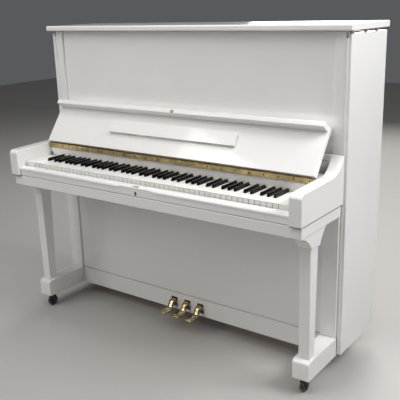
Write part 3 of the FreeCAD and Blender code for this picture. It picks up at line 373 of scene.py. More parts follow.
def makeHandlingGroup():
    # what use leaves on a polished surface: dust on top faces, handling marks, faint ripple
    tree, given, made = startGroup(
        "handling",
        {"Patch Scale": ("NodeSocketFloat", 4.0), "Ripple Scale": ("NodeSocketFloat", 90.0),
         "Dust": ("NodeSocketFloat", 0.5)},
        {"Marks": "NodeSocketFloat", "Dust": "NodeSocketFloat", "Ripple": "NodeSocketFloat"})
    place = objectPlace(tree)
    patches = noise(tree, place, given.outputs["Patch Scale"], 6.0, 0.62)
    specks = noise(tree, place, 420.0, 2.0)
    ripple = noise(tree, place, given.outputs["Ripple Scale"], 1.5)
    normal = addNode(tree, "ShaderNodeNewGeometry").outputs["Normal"]
    upward = addNode(tree, "ShaderNodeSeparateXYZ", {0: normal}).outputs["Z"]
    marks = spread(tree, patches, 0.42, 0.68)
    dust = calculate(tree, "MULTIPLY", spread(tree, upward, 0.75, 1.0), spread(tree, specks, 0.35, 0.7))
    dust = calculate(tree, "MULTIPLY", dust, given.outputs["Dust"])
    connect(tree, made, {"Marks": marks, "Dust": dust, "Ripple": ripple})
    return tree


def makeGrainGroup():
    # long wood fibres with growth rings and pores; Stretch is short along the grain
    tree, given, made = startGroup(
        "woodGrain",
        {"Stretch": ("NodeSocketVector", (60.0, 60.0, 3.0)), "Light": ("NodeSocketColor", (0.7, 0.5, 0.3, 1)),
         "Dark": ("NodeSocketColor", (0.4, 0.25, 0.12, 1)), "Contrast": ("NodeSocketFloat", 0.7)},
        {"Color": "NodeSocketColor", "Height": "NodeSocketFloat", "Roughness": "NodeSocketFloat"})
    place = objectPlace(tree)
    stretched = addNode(tree, "ShaderNodeVectorMath", {0: place, 1: given.outputs["Stretch"]},
                        operation="MULTIPLY").outputs[0]
    rings = noise(tree, stretched, 0.6, 3.0, distortion=0.8)
    bands = calculate(tree, "FRACT", calculate(tree, "MULTIPLY", rings, 9.0))
    fibres = noise(tree, stretched, 7.0, 4.0, 0.7)
    mixed = calculate(tree, "ADD", calculate(tree, "MULTIPLY", bands, 0.55),
                      calculate(tree, "MULTIPLY", fibres, 0.6))
    factor = calculate(tree, "MULTIPLY", mixed, given.outputs["Contrast"], clamp=True)
    colour = blendColours(tree, factor, given.outputs["Light"], given.outputs["Dark"])
    connect(tree, made, {"Color": colour, "Height": fibres,
                         "Roughness": spread(tree, fibres, 0.3, 0.7, 0.38, 0.62)})
    return tree


def makeTarnishGroup():
    # metal that has been polished and handled: brush lines and dull patches
    tree, given, made = startGroup(
        "tarnish",
        {"Bright": ("NodeSocketColor", (0.8, 0.6, 0.3, 1)), "Dull": ("NodeSocketColor", (0.5, 0.35, 0.15, 1)),
         "Patch Scale": ("NodeSocketFloat", 30.0), "Lines": ("NodeSocketVector", (40.0, 900.0, 900.0)),
         "Polish": ("NodeSocketFloat", 0.18)},
        {"Color": "NodeSocketColor", "Roughness": "NodeSocketFloat", "Height": "NodeSocketFloat"})
    place = objectPlace(tree)
    patches = noise(tree, place, given.outputs["Patch Scale"], 5.0, 0.6)
    stretched = addNode(tree, "ShaderNodeVectorMath", {0: place, 1: given.outputs["Lines"]},
                        operation="MULTIPLY").outputs[0]
    lines = noise(tree, stretched, 1.0, 2.0)
    dull = spread(tree, patches, 0.45, 0.75)
    colour = blendColours(tree, dull, given.outputs["Bright"], given.outputs["Dull"])
    rough = calculate(tree, "ADD", given.outputs["Polish"],
                      calculate(tree, "ADD", calculate(tree, "MULTIPLY", dull, 0.16),
                                calculate(tree, "MULTIPLY", lines, 0.10)))
    connect(tree, made, {"Color": colour, "Roughness": rough, "Height": lines})
    return tree


handling = makeHandlingGroup()
woodGrain = makeGrainGroup()
tarnish = makeTarnishGroup()


# ---- materials
def newMaterial(name, colour, roughness):
    material = bpy.data.materials.new(name)
    material.use_nodes = True
    shader = material.node_tree.nodes["Principled BSDF"]
    shader.inputs["Base Color"].default_value = (*colour, 1)
    shader.inputs["Roughness"].default_value = roughness
    return material, shader


def useGroup(material, group, inputs):
    node = addNode(material.node_tree, "ShaderNodeGroup", node_tree=group)
    for key, value in inputs.items():
        node.inputs[key].default_value = value
    return node.outputs


def addBump(material, shader, height, strength, distance):
    bump = addNode(material.node_tree, "ShaderNodeBump",
                   {"Height": height, "Strength": strength, "Distance": distance})
    material.node_tree.links.new(bump.outputs["Normal"], shader.inputs["Normal"])


def makeLacquer(name, colour, worn, roughness, dust, coat, ripple=0.05, specular=0.5):
    # sprayed and polished polyester: a hard clear coat over colour
    material, shader = newMaterial(name, colour, roughness)
    tree = material.node_tree
    use = useGroup(material, handling, {"Patch Scale": 3.2, "Ripple Scale": 75.0, "Dust": dust})
    tint = blendColours(tree, calculate(tree, "MULTIPLY", use["Marks"], 0.55), (*colour, 1), (*worn, 1))
    tint = blendColours(tree, use["Dust"], tint, (0.62, 0.60, 0.56, 1))
    rough = calculate(tree, "ADD", roughness - 0.03, calculate(tree, "MULTIPLY", use["Marks"], 0.07))
    rough = calculate(tree, "ADD", rough, calculate(tree, "MULTIPLY", use["Dust"], 0.35))
    connect(tree, shader, {"Base Color": tint, "Roughness": rough})
    shader.inputs["Coat Weight"].default_value = coat
    shader.inputs["Coat Roughness"].default_value = 0.04
    shader.inputs["Specular IOR Level"].default_value = specular
    addBump(material, shader, use["Ripple"], ripple, 0.0004)
    return material


def makeWood(name, light, dark, stretch, contrast=0.75, coat=0.0):
    material, shader = newMaterial(name, light, 0.5)
    grain = useGroup(material, woodGrain, {"Stretch": stretch, "Light": (*light, 1), "Dark": (*dark, 1),
                                           "Contrast": contrast})
    connect(material.node_tree, shader, {"Base Color": grain["Color"], "Roughness": grain["Roughness"]})
    shader.inputs["Coat Weight"].default_value = coat
    addBump(material, shader, grain["Height"], 0.25, 0.0005)
    return material


def makeMetal(name, bright, dull, polish, patchScale=30.0, lines=(40.0, 900.0, 900.0), bump=0.06):
    material, shader = newMaterial(name, bright, polish)
    look = useGroup(material, tarnish, {"Bright": (*bright, 1), "Dull": (*dull, 1), "Patch Scale": patchScale,
                                        "Lines": lines, "Polish": polish})
    connect(material.node_tree, shader, {"Base Color": look["Color"], "Roughness": look["Roughness"]})
    shader.inputs["Metallic"].default_value = 1.0
    addBump(material, shader, look["Height"], bump, 0.0003)
    return material


def makeFelt(name, colour, shade):
    material, shader = newMaterial(name, colour, 0.95)
    tree = material.node_tree
    place = objectPlace(tree)
    fibres = noise(tree, place, 900.0, 6.0, 0.8, 1.2)
    tint = blendColours(tree, spread(tree, fibres, 0.3, 0.7), (*shade, 1), (*colour, 1))
    connect(tree, shader, {"Base Color": tint})
    shader.inputs["Sheen Weight"].default_value = 0.5
    shader.inputs["Sheen Roughness"].default_value = 0.6
    addBump(material, shader, fibres, 0.6, 0.0008)
    return material


def makeRubber(name, colour, roughness):
    material, shader = newMaterial(name, colour, roughness)
    use = useGroup(material, handling, {"Patch Scale": 60.0, "Ripple Scale": 700.0, "Dust": 0.6})
    tree = material.node_tree
    scuffed = tuple(min(1.0, c + 0.10) for c in colour)
    tint = blendColours(tree, use["Marks"], (*colour, 1), (*scuffed, 1))
    rough = spread(tree, use["Marks"], 0.0, 1.0, roughness, min(1.0, roughness + 0.25))
    connect(tree, shader, {"Base Color": tint, "Roughness": rough})
    addBump(material, shader, use["Ripple"], 0.3, 0.0004)
    return material


def makePlatePaint():
    # bronze paint over sand-cast iron
    material, shader = newMaterial("bronzePaint", (0.62, 0.45, 0.17), 0.4)
    tree = material.node_tree
    place = objectPlace(tree)
    cast = noise(tree, place, 260.0, 4.0)
    clouds = spread(tree, noise(tree, place, 5.0, 4.0), 0.35, 0.65)
    tint = blendColours(tree, clouds, (0.66, 0.49, 0.20, 1), (0.50, 0.35, 0.12, 1))
    connect(tree, shader, {"Base Color": tint, "Roughness": spread(tree, cast, 0.3, 0.7, 0.34, 0.52)})
    shader.inputs["Metallic"].default_value = 0.75
    addBump(material, shader, cast, 0.35, 0.0008)
    return material


def makeStringMetal():
    # plain steel wires; the bass ones, nearer the player, are wound with copper
    material, shader = newMaterial("wire", (0.6, 0.6, 0.62), 0.3)
    tree = material.node_tree
    place = objectPlace(tree)
    apart = addNode(tree, "ShaderNodeSeparateXYZ", {0: place}).outputs
    plain = spread(tree, apart["Y"], 0.193, 0.195)
    wave = addNode(tree, "ShaderNodeTexWave", {"Vector": place, "Scale": 260.0}, bands_direction="Z")
    winding = wave.outputs["Fac"]
    tint = blendColours(tree, plain, (0.62, 0.30, 0.14, 1), (0.62, 0.62, 0.64, 1))
    connect(tree, shader, {"Base Color": tint, "Roughness": spread(tree, winding, 0.0, 1.0, 0.22, 0.38)})
    shader.inputs["Metallic"].default_value = 1.0
    addBump(material, shader, winding, 0.3, 0.0003)
    return material


whiteLacquer = makeLacquer("whiteLacquer", (0.87, 0.865, 0.845), (0.84, 0.83, 0.80), 0.17, 0.05, 0.8)
keyTop = makeLacquer("keyTop", (0.93, 0.92, 0.895), (0.90, 0.885, 0.85), 0.22, 0.03, 0.4, 0.03)
ebony = makeLacquer("ebony", (0.004, 0.004, 0.0045), (0.008, 0.008, 0.008), 0.15, 0.01, 0.0, 0.04, 0.2)
keyWood = makeWood("keyWood", (0.46, 0.38, 0.29), (0.30, 0.24, 0.17), (55.0, 3.0, 55.0))
beech = makeWood("beech", (0.60, 0.42, 0.25), (0.40, 0.25, 0.13), (3.0, 55.0, 55.0), 0.7, 0.1)
postWood = makeWood("postWood", (0.66, 0.48, 0.29), (0.42, 0.27, 0.14), (30.0, 30.0, 2.5), 0.8)
actionWood = makeWood("actionWood", (0.72, 0.54, 0.34), (0.55, 0.38, 0.22), (80.0, 80.0, 8.0), 0.6)
spruce = makeWood("spruce", (0.80, 0.62, 0.38), (0.66, 0.45, 0.24), (90.0, 20.0, 2.0), 0.6, 0.25)
brass = makeMetal("brass", (0.74, 0.57, 0.25), (0.33, 0.24, 0.10), 0.19, 26.0)
# near-black brass, partly tarnish and partly painted shade and dark reflection: hinge knuckle row, fallboard
# leaf, hinge screws, keyhole ring
agedBrass = makeMetal("agedBrass", (0.15, 0.11, 0.05), (0.06, 0.045, 0.022), 0.34, 60.0)
pedalBrass = makeMetal("pedalBrass", (0.46, 0.37, 0.21), (0.15, 0.11, 0.06), 0.12, 34.0, (300.0, 30.0, 300.0))
steel = makeMetal("steel", (0.66, 0.66, 0.67), (0.45, 0.44, 0.42), 0.24, 60.0)
darkSteel = makeMetal("darkSteel", (0.10, 0.10, 0.10), (0.05, 0.045, 0.04), 0.34, 45.0)
wire = makeStringMetal()
platePaint = makePlatePaint()
tread = makeRubber("tread", (0.018, 0.018, 0.018), 0.42)
bumperRubber = makeRubber("bumperRubber", (0.80, 0.79, 0.74), 0.35)
whiteFelt = makeFelt("whiteFelt", (0.84, 0.81, 0.74), (0.68, 0.64, 0.56))
# painted shade: grey felt for the shade line under the hinge leaf
quirkGrey = makeFelt("quirkGrey", (0.30, 0.29, 0.28), (0.20, 0.19, 0.18))
jointShade = makeFelt("jointShade", (0.055, 0.05, 0.045), (0.03, 0.028, 0.025))
materialOf = {"white_gloss": whiteLacquer, "black_gloss": ebony, "key_white": keyTop, "brass": brass,
              "iron": platePaint, "steel": steel, "spruce": spruce, "beech": beech, "black_tyre": tread,
              "bumper": bumperRubber, "felt": whiteFelt}
print("materials made:", len(bpy.data.materials))


# ---- geometry node trees for what repeats
def makeRowTree():
    # one template, repeated along a straight line
    tree, given, made = startGroup(
        "row", {"Geometry": ("NodeSocketGeometry", None), "Template": ("NodeSocketObject", None),
                "Count": ("NodeSocketInt", 10), "Start": ("NodeSocketVector", None),
                "Step": ("NodeSocketVector", None), "Material": ("NodeSocketMaterial", None)},
        {"Geometry": "NodeSocketGeometry"}, "GeometryNodeTree")
    line = addNode(tree, "GeometryNodeMeshLine", {"Count": given.outputs["Count"],
                                                  "Start Location": given.outputs["Start"],
                                                  "Offset": given.outputs["Step"]})
    template = addNode(tree, "GeometryNodeObjectInfo", {"Object": given.outputs["Template"]})
    copies = addNode(tree, "GeometryNodeInstanceOnPoints", {"Points": line.outputs[0],
                                                            "Instance": template.outputs["Geometry"]})
    endTree(tree, copies.outputs[0], given, made)
    return tree


def makePlacesTree():
    # one template at each point, stretched by the point's own "stretch" and turned by its "turn"
    tree, given, made = startGroup(
        "places", {"Geometry": ("NodeSocketGeometry", None), "Template": ("NodeSocketObject", None),
                   "Material": ("NodeSocketMaterial", None)},
        {"Geometry": "NodeSocketGeometry"}, "GeometryNodeTree")
    template = addNode(tree, "GeometryNodeObjectInfo", {"Object": given.outputs["Template"]})
    stretch = addNode(tree, "GeometryNodeInputNamedAttribute", {"Name": "stretch"}, data_type="FLOAT_VECTOR")
    turn = addNode(tree, "GeometryNodeInputNamedAttribute", {"Name": "turn"}, data_type="FLOAT_VECTOR")
    copies = addNode(tree, "GeometryNodeInstanceOnPoints", {"Points": given.outputs["Geometry"],
                                                            "Instance": template.outputs["Geometry"],
                                                            "Rotation": turn.outputs["Attribute"],
                                                            "Scale": stretch.outputs["Attribute"]})
    endTree(tree, copies.outputs[0], given, made)
    return tree


def endTree(tree, geometry, given, made):
    real = addNode(tree, "GeometryNodeRealizeInstances", {"Geometry": geometry})
    painted = addNode(tree, "GeometryNodeSetMaterial", {"Geometry": real.outputs[0],
                                                        "Material": given.outputs["Material"]})
    tree.links.new(painted.outputs[0], made.inputs["Geometry"])


rowTree = makeRowTree()
placesTree = makePlacesTree()


def grown(name, tree, inputs, points=((0, 0, 0),), stretches=None, turns=None):
    # runs a tree on a mesh of bare points and keeps the plain mesh that it makes
    piece = newPiece(name, points, [])
    for label, values in (("stretch", stretches or [(1, 1, 1)] * len(points)),
                          ("turn", turns or [(0, 0, 0)] * len(points))):
        attribute = piece.data.attributes.new(label, "FLOAT_VECTOR", "POINT")
        attribute.data.foreach_set("vector", [c for v in values for c in v])
    modifier = piece.modifiers.new("grown", "NODES")
    modifier.node_group = tree
    for socket in tree.interface.items_tree:
        if socket.in_out == "INPUT" and socket.name in inputs:
            modifier[socket.identifier] = inputs[socket.name]
    bakeModifiers(piece)
    for label in ("stretch", "turn"):
        if label in piece.data.attributes:
            piece.data.attributes.remove(piece.data.attributes[label])
    return piece


def dropTemplate(template):
    bpy.data.objects.remove(template)


# ---- casework: boards with softened edges, over the frame's own shapes
edgeWidths = {"side_panel_left": 1.6, "side_panel_right": 1.6, "stiles": 2.4, "arm_left": 2.6,
              "arm_right": 2.6, "key_bed": 2.6, "key_slip": 0.7, "key_blocks": 1.5, "name_board": 1.2,
              "upper_panel": 2.6,
              "lower_panel": 1.6, "bottom_rail": 1.6, "leg_left": 2.0, "leg_right": 2.0, "corbels": 1.2,
              "toe_blocks": 2.4, "top_lid": 1.8, "fallboard": 2.2, "fallboard_lip": 1.0, "music_ledge": 1.4}
benchWidths = {"bottom_board": 1.2, "trap_lever_left": 1.6, "trap_lever_middle": 1.6, "trap_lever_right": 1.6,
               "soft_rod": 0.8, "muffler_rod": 0.8, "damper_rod": 0.8, "action_frame": 0.8}


quirkLook = {"tall": 2.6, "deep": 2.2, "corbelTall": 1.6, "corbelDeep": 1.5, "lift": 0.05, "rise": 0.3,
             "corbelSoften": 0.3, "slipLead": 2.6, "slipDepth": 12.0, "soften": 0.4}
seamLook = {"gap": 0.3, "lap": 0.1, "thick": 18.0, "soften": 0.6}
boxFaces = [(3, 2, 1, 0), (4, 5, 6, 7), (0, 1, 5, 4), (1, 2, 6, 5), (2, 3, 7, 6), (3, 0, 4, 7)]


def inMetres(look):
    # the same values in metres, single numbers or rows of them
    if isinstance(look, dict):
        return {name: inMetres(value) for name, value in look.items()}
    if isinstance(look, (tuple, list)):
        return [inMetres(value) for value in look]
    return look * millimetre


def boxPiece(name, low, high, soften, material, body):
    corners = [(x, y, z) for z in (low[2], high[2]) for x, y in ((low[0], low[1]), (high[0], low[1]),
                                                                 (high[0], high[1]), (low[0], high[1]))]
    piece = newPiece(name, corners, boxFaces)
    roundEdges(piece, soften, 2)
    return finishPiece(piece, material, body, None)


# a near-black felt box, used as painted shade in joints, slot openings and slot walls
def shadeFelt(name, low, high, soften):
    return boxPiece(name, low, high, soften, jointShade, "case")


def makeCasework():
    quirk = quirkLook["tall"] * millimetre
    for node, width in edgeWidths.items():
        trim = quirk if node in ("arm_left", "arm_right", "key_slip") else 0.0
        headTrim = quirkLook["corbelTall"] * millimetre if node == "corbels" else 0.0
        shapedNode(node, width * millimetre, whiteLacquer, trim=trim, headTrim=headTrim)
    makeQuirkShade()
    makeSeamBacks()
    print("casework shaped:", len(edgeWidths))


def makeQuirkShade():
    # painted shade: dark felt, set back in the joints of arms, corbels and slip, keeps those joint lines dark
    look = inMetres(quirkLook)
    deep, lift, soften = look["deep"], look["lift"], look["soften"]
    top = look["tall"] + look["rise"]
    for hand in ("left", "right"):
        low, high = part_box("arm_" + hand)
        shadeFelt("quirkArm_" + hand, (low.x + deep, low.y + deep, low.z + lift),
                  (high.x - deep, high.y - deep, low.z + top), soften)
    inset = look["corbelDeep"]
    foot = look["corbelTall"] + look["rise"]
    for i, (low, high) in enumerate(nodeSpans("corbels")):
        shadeFelt("quirkCorbel_%d" % i, (low.x + inset, low.y + inset, high.z - foot),
                  (high.x - inset, high.y - inset, high.z - lift), look["corbelSoften"])
    low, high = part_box("key_slip")
    shadeFelt("quirkSlip", (low.x, low.y + deep + look["slipLead"], low.z + lift),
              (high.x, low.y + look["slipDepth"], low.z + top), soften)


def makeSeamBacks():
    # boards behind the lower stiles, which close the seams beside the panel and the side
    look = inMetres(seamLook)
    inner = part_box("lower_panel")[1].x + look["gap"]
    stileLow, stileHigh = [span for span in nodeSpans("stiles") if span[0].x > 0 and span[0].z < 0.3][0]
    outer = stileHigh.x + look["lap"]
    for hand, sign in (("left", -1), ("right", 1)):
        x = sorted((sign * inner, sign * outer))
        boxPiece("seamBack_" + hand, (x[0], stileHigh.y + look["lap"], stileLow.z),
                 (x[1], stileHigh.y + look["thick"], stileHigh.z), look["soften"], whiteLacquer, "case")


def makeBenchWork():
    for node, width in benchWidths.items():
        shapedNode(node, width * millimetre, beech)
    shapedNode("back_frame", 2.5 * millimetre, postWood, jointed=True)
    shapedNode("soundboard", 1.0 * millimetre, spruce)
    shapedNode("iron_plate", 1.2 * millimetre, platePaint, 2)
    shapedNode("lid_bumpers", 0.8 * millimetre, bumperRubber)
    shapedNode("lid_hinges", 0.5 * millimetre, steel, 2)
    shapedNode("fallboard_lock", 0.3 * millimetre, brass, 2)
    shapedNode("lock_bolt", 0.4 * millimetre, steel, 2)
    shapedNode("lock_strike", 0.3 * millimetre, brass, 2)
    shapedNode("muffler_rail", 0.4 * millimetre, whiteFelt, 2)
    print("bench work shaped")


# ---- keys
keyLook = {"plate": 2.4, "overhang": 1.6, "sideInset": 0.25, "plateEdge": 0.55, "cornerRadius": 1.3,
           "plateLength": 155.0, "blackTaper": 0.80, "blackEdge": 1.5, "blackFront": 4.0, "blackDip": 0.35}


def whiteKeySpans(solid):
    # head and tail widths and the place where they meet, read from the key's own corners
    low, high = spanOf(solid)
    fine = 0.2 * millimetre
    head = [p.x for p in solid if p.y < low.y + fine]
    tail = [p.x for p in solid if p.y > high.y - fine]
    steps = sorted({round(p.y, 5) for p in solid if low.y + fine < p.y < high.y - fine})
    step = steps[0] if steps else low.y + 50 * millimetre
    return low, high, (min(head), max(head)), (min(tail), max(tail)), step


def prism(points, faces, outline, bottom, top, ringMaterial, materials, topMaterial):
    # adds a flat-topped block on an outline to a growing mesh
    first = len(points)
    count = len(outline)
    points += [(x, y, bottom) for x, y in outline] + [(x, y, top) for x, y in outline]
    for i in range(count):
        j = (i + 1) % count
        faces.append((first + i, first + j, first + count + j, first + count + i))
        materials.append(ringMaterial(i))
    faces.append(tuple(first + count + i for i in range(count)))
    materials.append(topMaterial)
    faces.append(tuple(first + i for i in reversed(range(count))))
    materials.append(topMaterial)


def makeWhiteKeys(node):
    points, faces, materials = [], [], []
    wall = keyLook["sideInset"] * millimetre
    corner = keyLook["cornerRadius"] * millimetre
    for solid in keySolids(node):
        low, high, head, tail, step = whiteKeySpans(solid)
        seam = high.z - keyLook["plate"] * millimetre
        plateEnd = low.y + keyLook["plateLength"] * millimetre
        body = [(head[0] + wall, low.y + keyLook["overhang"] * millimetre),
                (head[1] - wall, low.y + keyLook["overhang"] * millimetre), (head[1] - wall, step),
                (tail[1] - wall, step), (tail[1] - wall, high.y), (tail[0] + wall, high.y),
                (tail[0] + wall, step), (head[0] + wall, step)]
        prism(points, faces, body, low.z, seam, lambda i: 0 if i == 0 else 1, materials, 1)
        rounded = []
        for x, turn in ((head[0] + corner, math.pi), (head[1] - corner, 1.5 * math.pi)):
            for k in range(4):
                angle = turn + k * math.pi / 6
                rounded.append((x + corner * math.cos(angle), low.y + corner + corner * math.sin(angle)))
        plate = rounded + [(head[1], step), (tail[1], step), (tail[1], plateEnd), (tail[0], plateEnd),
                           (tail[0], step), (head[0], step)]
        prism(points, faces, plate, seam, high.z, lambda i: 0, materials, 0)
    piece = newPiece("ivory_" + node, points, faces)
    for polygon, index in zip(piece.data.polygons, materials):
        polygon.material_index = index
    piece.data.materials.append(keyTop)
    piece.data.materials.append(keyWood)
    work = bmesh.new()
    work.from_mesh(piece.data)
    bmesh.ops.dissolve_degenerate(work, edges=work.edges, dist=1e-5)
    work.to_mesh(piece.data)
    work.free()
    roundEdges(piece, keyLook["plateEdge"] * millimetre, 2)
    finishPiece(piece, None, bodyOf[node], node)


def blackKeyTemplate(size):
    # a sharp: sloping front, sides that lean in, softened top edges, slight dip along its length
    halfWide, depth, tall = size.x / 2, size.y, size.z
    taper, front = keyLook["blackTaper"], keyLook["blackFront"] * millimetre
    dip = keyLook["blackDip"] * millimetre
    sections = []
    for share in (0.0, 0.25, 0.5, 0.75, 1.0):
        y = share * depth
        top = tall - dip * math.sin(math.pi * share)
        back = 0.0 if share else front
        lean = halfWide * taper
        sections.append([Vector((-halfWide, y, 0)), Vector((halfWide, y, 0)),
                         Vector((lean, y + back, top)), Vector((-lean, y + back, top))])
    piece = loft("sharpTemplate", sections)
    return roundEdges(piece, keyLook["blackEdge"] * millimetre, 3, 50)


def makeBlackKeys(node, whiteTop):
    spans = nodeSpans(node)
    low, high = spans[0]
    capLow = whiteTop - 3 * millimetre
    corners = [p for p in nodeSolids(node)[0] if p.z > high.z - 0.2 * millimetre]
    capLength = max(p.y for p in corners) - low.y
    template = blackKeyTemplate(Vector((high.x - low.x, capLength, high.z - capLow)))
    places = [((a.x + b.x) / 2, a.y, capLow) for a, b in spans]
    piece = grown("ebony_" + node, placesTree, {"Template": template, "Material": ebony}, places)
    finishPiece(piece, ebony, bodyOf[node], node)
    dropTemplate(template)
    points, faces, materials = [], [], []
    wall = keyLook["sideInset"] * millimetre
    for a, b in spans:
        outline = [(a.x + wall, a.y + 1 * millimetre), (b.x - wall, a.y + 1 * millimetre),
                   (b.x - wall, b.y), (a.x + wall, b.y)]
        prism(points, faces, outline, a.z, capLow - 0.05 * millimetre, lambda i: 0, materials, 0)
    stick = newPiece("stick_" + node, points, faces)
    roundEdges(stick, 0.4 * millimetre, 1)
    finishPiece(stick, keyWood, bodyOf[node], None)


def makeKeyboard():
    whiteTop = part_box("key_c4")[1].z
    for node in ("white_keys_bass", "white_keys_treble", "key_c4", "key_d4"):
        makeWhiteKeys(node)
    for node in ("black_keys_bass", "black_keys_treble", "key_c_sharp4", "key_d_sharp4"):
        makeBlackKeys(node, whiteTop)
    frame["nodes"]["key_frame"].data.materials.clear()
    frame["nodes"]["key_frame"].data.materials.append(beech)
    print("keyboard made")


# ---- the continuous hinge and the screws
screwLook = {"radius": 3.4, "height": 0.7, "slot": 0.9, "slotDepth": 0.5, "pitch": 62.0}


def screwTemplate(radius, height, slot, slotDepth, facing):
    # a domed head with one slot, facing along the given axis
    steps = 18
    rings = []
    for share, rise in ((1.0, 0.0), (0.96, 0.45), (0.78, 0.8), (0.45, 0.97), (0.15, 1.0)):
        ring = []
        for i in range(steps):
            angle = 2 * math.pi * (i + 0.5) / steps
            x, z = radius * share * math.cos(angle), radius * share * math.sin(angle)
            down = slotDepth if abs(z) < slot / 2 and abs(x) < radius * 0.86 else 0
            ring.append((x, z, max(height * rise - down, 0.05 * height) if rise else 0.0))
        rings.append(ring)
    turn = Vector((0, 0, 1)).rotation_difference(Vector(facing)).to_matrix()
    return loft("screwTemplate", [[turn @ Vector(p) for p in ring] for ring in rings])


def makeScrewRow(name, body, count, start, step, facing, material, radius=None, height=None):
    radius = radius or screwLook["radius"] * millimetre
    template = screwTemplate(radius, height or screwLook["height"] * millimetre,
                             screwLook["slot"] * millimetre, screwLook["slotDepth"] * millimetre, facing)
    piece = grown(name, rowTree, {"Template": template, "Count": count, "Start": tuple(start),
                                  "Step": tuple(step), "Material": material})
    finishPiece(piece, material, body, None)
    dropTemplate(template)
    return piece


hingeLook = {"knuckle": 5.0, "headRadius": 3.0, "headHeight": 0.7, "headRise": 9.0, "headGap": 0.05,
             "endMargin": 30.0}


def makeHinge():
    leaf = shapedNode("name_board_hinge_leaf", 0.2 * millimetre, brass, 1)
    leaf.data.materials.append(agedBrass)
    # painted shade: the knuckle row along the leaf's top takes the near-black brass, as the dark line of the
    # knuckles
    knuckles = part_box("name_board_hinge_leaf")[1].z - hingeLook["knuckle"] * millimetre
    for polygon in leaf.data.polygons:
        if polygon.center.z > knuckles:
            polygon.material_index = 1
    # the fallboard's leaf is near-black as well, painted shade along the knuckle line with some tarnish
    shapedNode("fallboard_hinge_leaf", 0.2 * millimetre, agedBrass, 1)
    low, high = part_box("name_board_hinge_leaf")
    pitch = screwLook["pitch"] * millimetre
    count = int((high.x - low.x - hingeLook["endMargin"] * millimetre) / pitch) + 1
    start = -(count - 1) * pitch / 2
    foot = [p for p in cleanMesh("name_board_hinge_leaf")[0] if p.z < low.z + millimetre]
    place = (start, min(p.y for p in foot) + hingeLook["headGap"] * millimetre,
             low.z + hingeLook["headRise"] * millimetre)
    makeScrewRow("hingeScrewsFixed", "case", count, place, (pitch, 0, 0), (0, -1, 0), agedBrass,
                 hingeLook["headRadius"] * millimetre, hingeLook["headHeight"] * millimetre)
    makeNameStrip(low)
    print("hinge made, screws:", count)


fittingLook = {"leaf": (30.0, 10.0, 0.25), "leafPlaces": (-0.2, 0.2), "slotPlate": (22.0, 7.0, 0.8),
               "keyhole": (5.4, 3.6, 1.5), "keyholeHeight": 13.0, "keyholeSet": 2.5, "plateHeight": 830.0,
               "railSet": 21.0, "plateInset": 22.0, "leafSet": 0.5, "mouthPitch": 5.0, "mouth": (3.4, 1.3),
               "fallboardLean": 36.0}


def leanedFrame():
    # the open fallboard's own directions: down its back to the front, and up its face
    angle = math.radians(fittingLook["fallboardLean"])
    return (Vector((0, math.cos(angle), -math.sin(angle))), Vector((0, math.sin(angle), math.cos(angle))))


def makeFittings():
    # small brass leaves under the music ledge, on the ledge's lowest face
    wide, deep, thick = (v * millimetre for v in fittingLook["leaf"])
    across, up = leanedFrame()
    points = nodeSolids("music_ledge")[0]
    lowest = min(p.dot(up) for p in points)
    foot = [p for p in points if p.dot(up) < lowest + 0.5 * millimetre]
    back = max(p.dot(across) for p in foot)
    for i, x in enumerate(fittingLook["leafPlaces"]):
        corners = []
        for rise in (-thick, 0.0):
            for a, b in ((-1, 1.0), (1, 1.0), (1, 0.0), (-1, 0.0)):
                corners.append(Vector((x + a * wide / 2, 0, 0)) + up * (lowest + rise)
                               + across * (back - fittingLook["leafSet"] * millimetre - b * deep))
        leaf = newPiece("ledgeLeaf_%d" % i, corners, boxFaces)
        outward(leaf)
        finishPiece(leaf, brass, "music_ledge", None)
    makeSlotPlates()
    makeKeyhole()


def makeSlotPlates():
    # a nickel plate with two slots near each end of the rail behind the fallboard
    wide, tall, thick = (v * millimetre for v in fittingLook["slotPlate"])
    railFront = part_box("upper_panel")[0].y - fittingLook["railSet"] * millimetre
    face = railFront - thick
    height = fittingLook["plateHeight"] * millimetre
    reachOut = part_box("fallboard")[1].x - fittingLook["plateInset"] * millimetre
    pitch = fittingLook["mouthPitch"] * millimetre
    halfWide, halfTall = (v * millimetre for v in fittingLook["mouth"])
    for side, sign in (("left", -1), ("right", 1)):
        x = sign * reachOut
        boxPiece("slotPlate_" + side, (x - wide / 2, face, height - tall / 2),
                 (x + wide / 2, railFront, height + tall / 2), 0.4 * millimetre, steel, "case")
        # painted shade: a near-black patch on the plate stands for each slot's dark opening
        for k in (-1, 1):
            mouth = x + k * pitch
            shadeFelt("slotMouth_%s_%d" % (side, k + 1), (mouth - halfWide, face - 0.0001, height - halfTall),
                      (mouth + halfWide, face + 0.0003, height + halfTall), 0.0001)


def makeKeyhole():
    outer, inner, stretch = fittingLook["keyhole"]
    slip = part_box("key_slip")
    face = slip[0].y + fittingLook["keyholeSet"] * millimetre
    centre = Vector((0, face, slip[0].z + fittingLook["keyholeHeight"] * millimetre))
    profile = [(inner, 0.0), (outer, 0.0), (outer, 0.4), (outer - 0.5, 0.8), (inner + 0.4, 0.8), (inner, 0.5),
               (inner, 0.0)]
    ring = turned("keyRing", inMetres(profile), (0, -1, 0), centre, 32, False)
    # painted shade: a near-black disc inside the ring stands for the keyhole's dark opening
    core = turned("keyCore", [(0, 0.0), (inner * millimetre, 0.0), (inner * millimetre, 0.0002), (0, 0.0002)],
                  (0, -1, 0), centre, 24)
    for piece, material, slot in ((ring, agedBrass, "brass"), (core, jointShade, "felt")):
        piece.data.transform(Matrix.Translation(centre) @ Matrix.Diagonal((1, 1, stretch, 1))
                             @ Matrix.Translation(-centre))
        piece.name = "keyhole" + piece.name[3:]
        finishPiece(piece, material, "case", None)


stripLook = {"quirkEnd": 1.0, "quirkDrop": 1.7, "quirkDeep": 2.5, "quirkSoften": 0.3, "skin": 0.1,
             "feltEnd": 12.0, "feltFront": 0.8, "feltBack": 6.0, "feltRise": 0.8, "feltLap": 0.2,
             "feltSoften": 0.8}


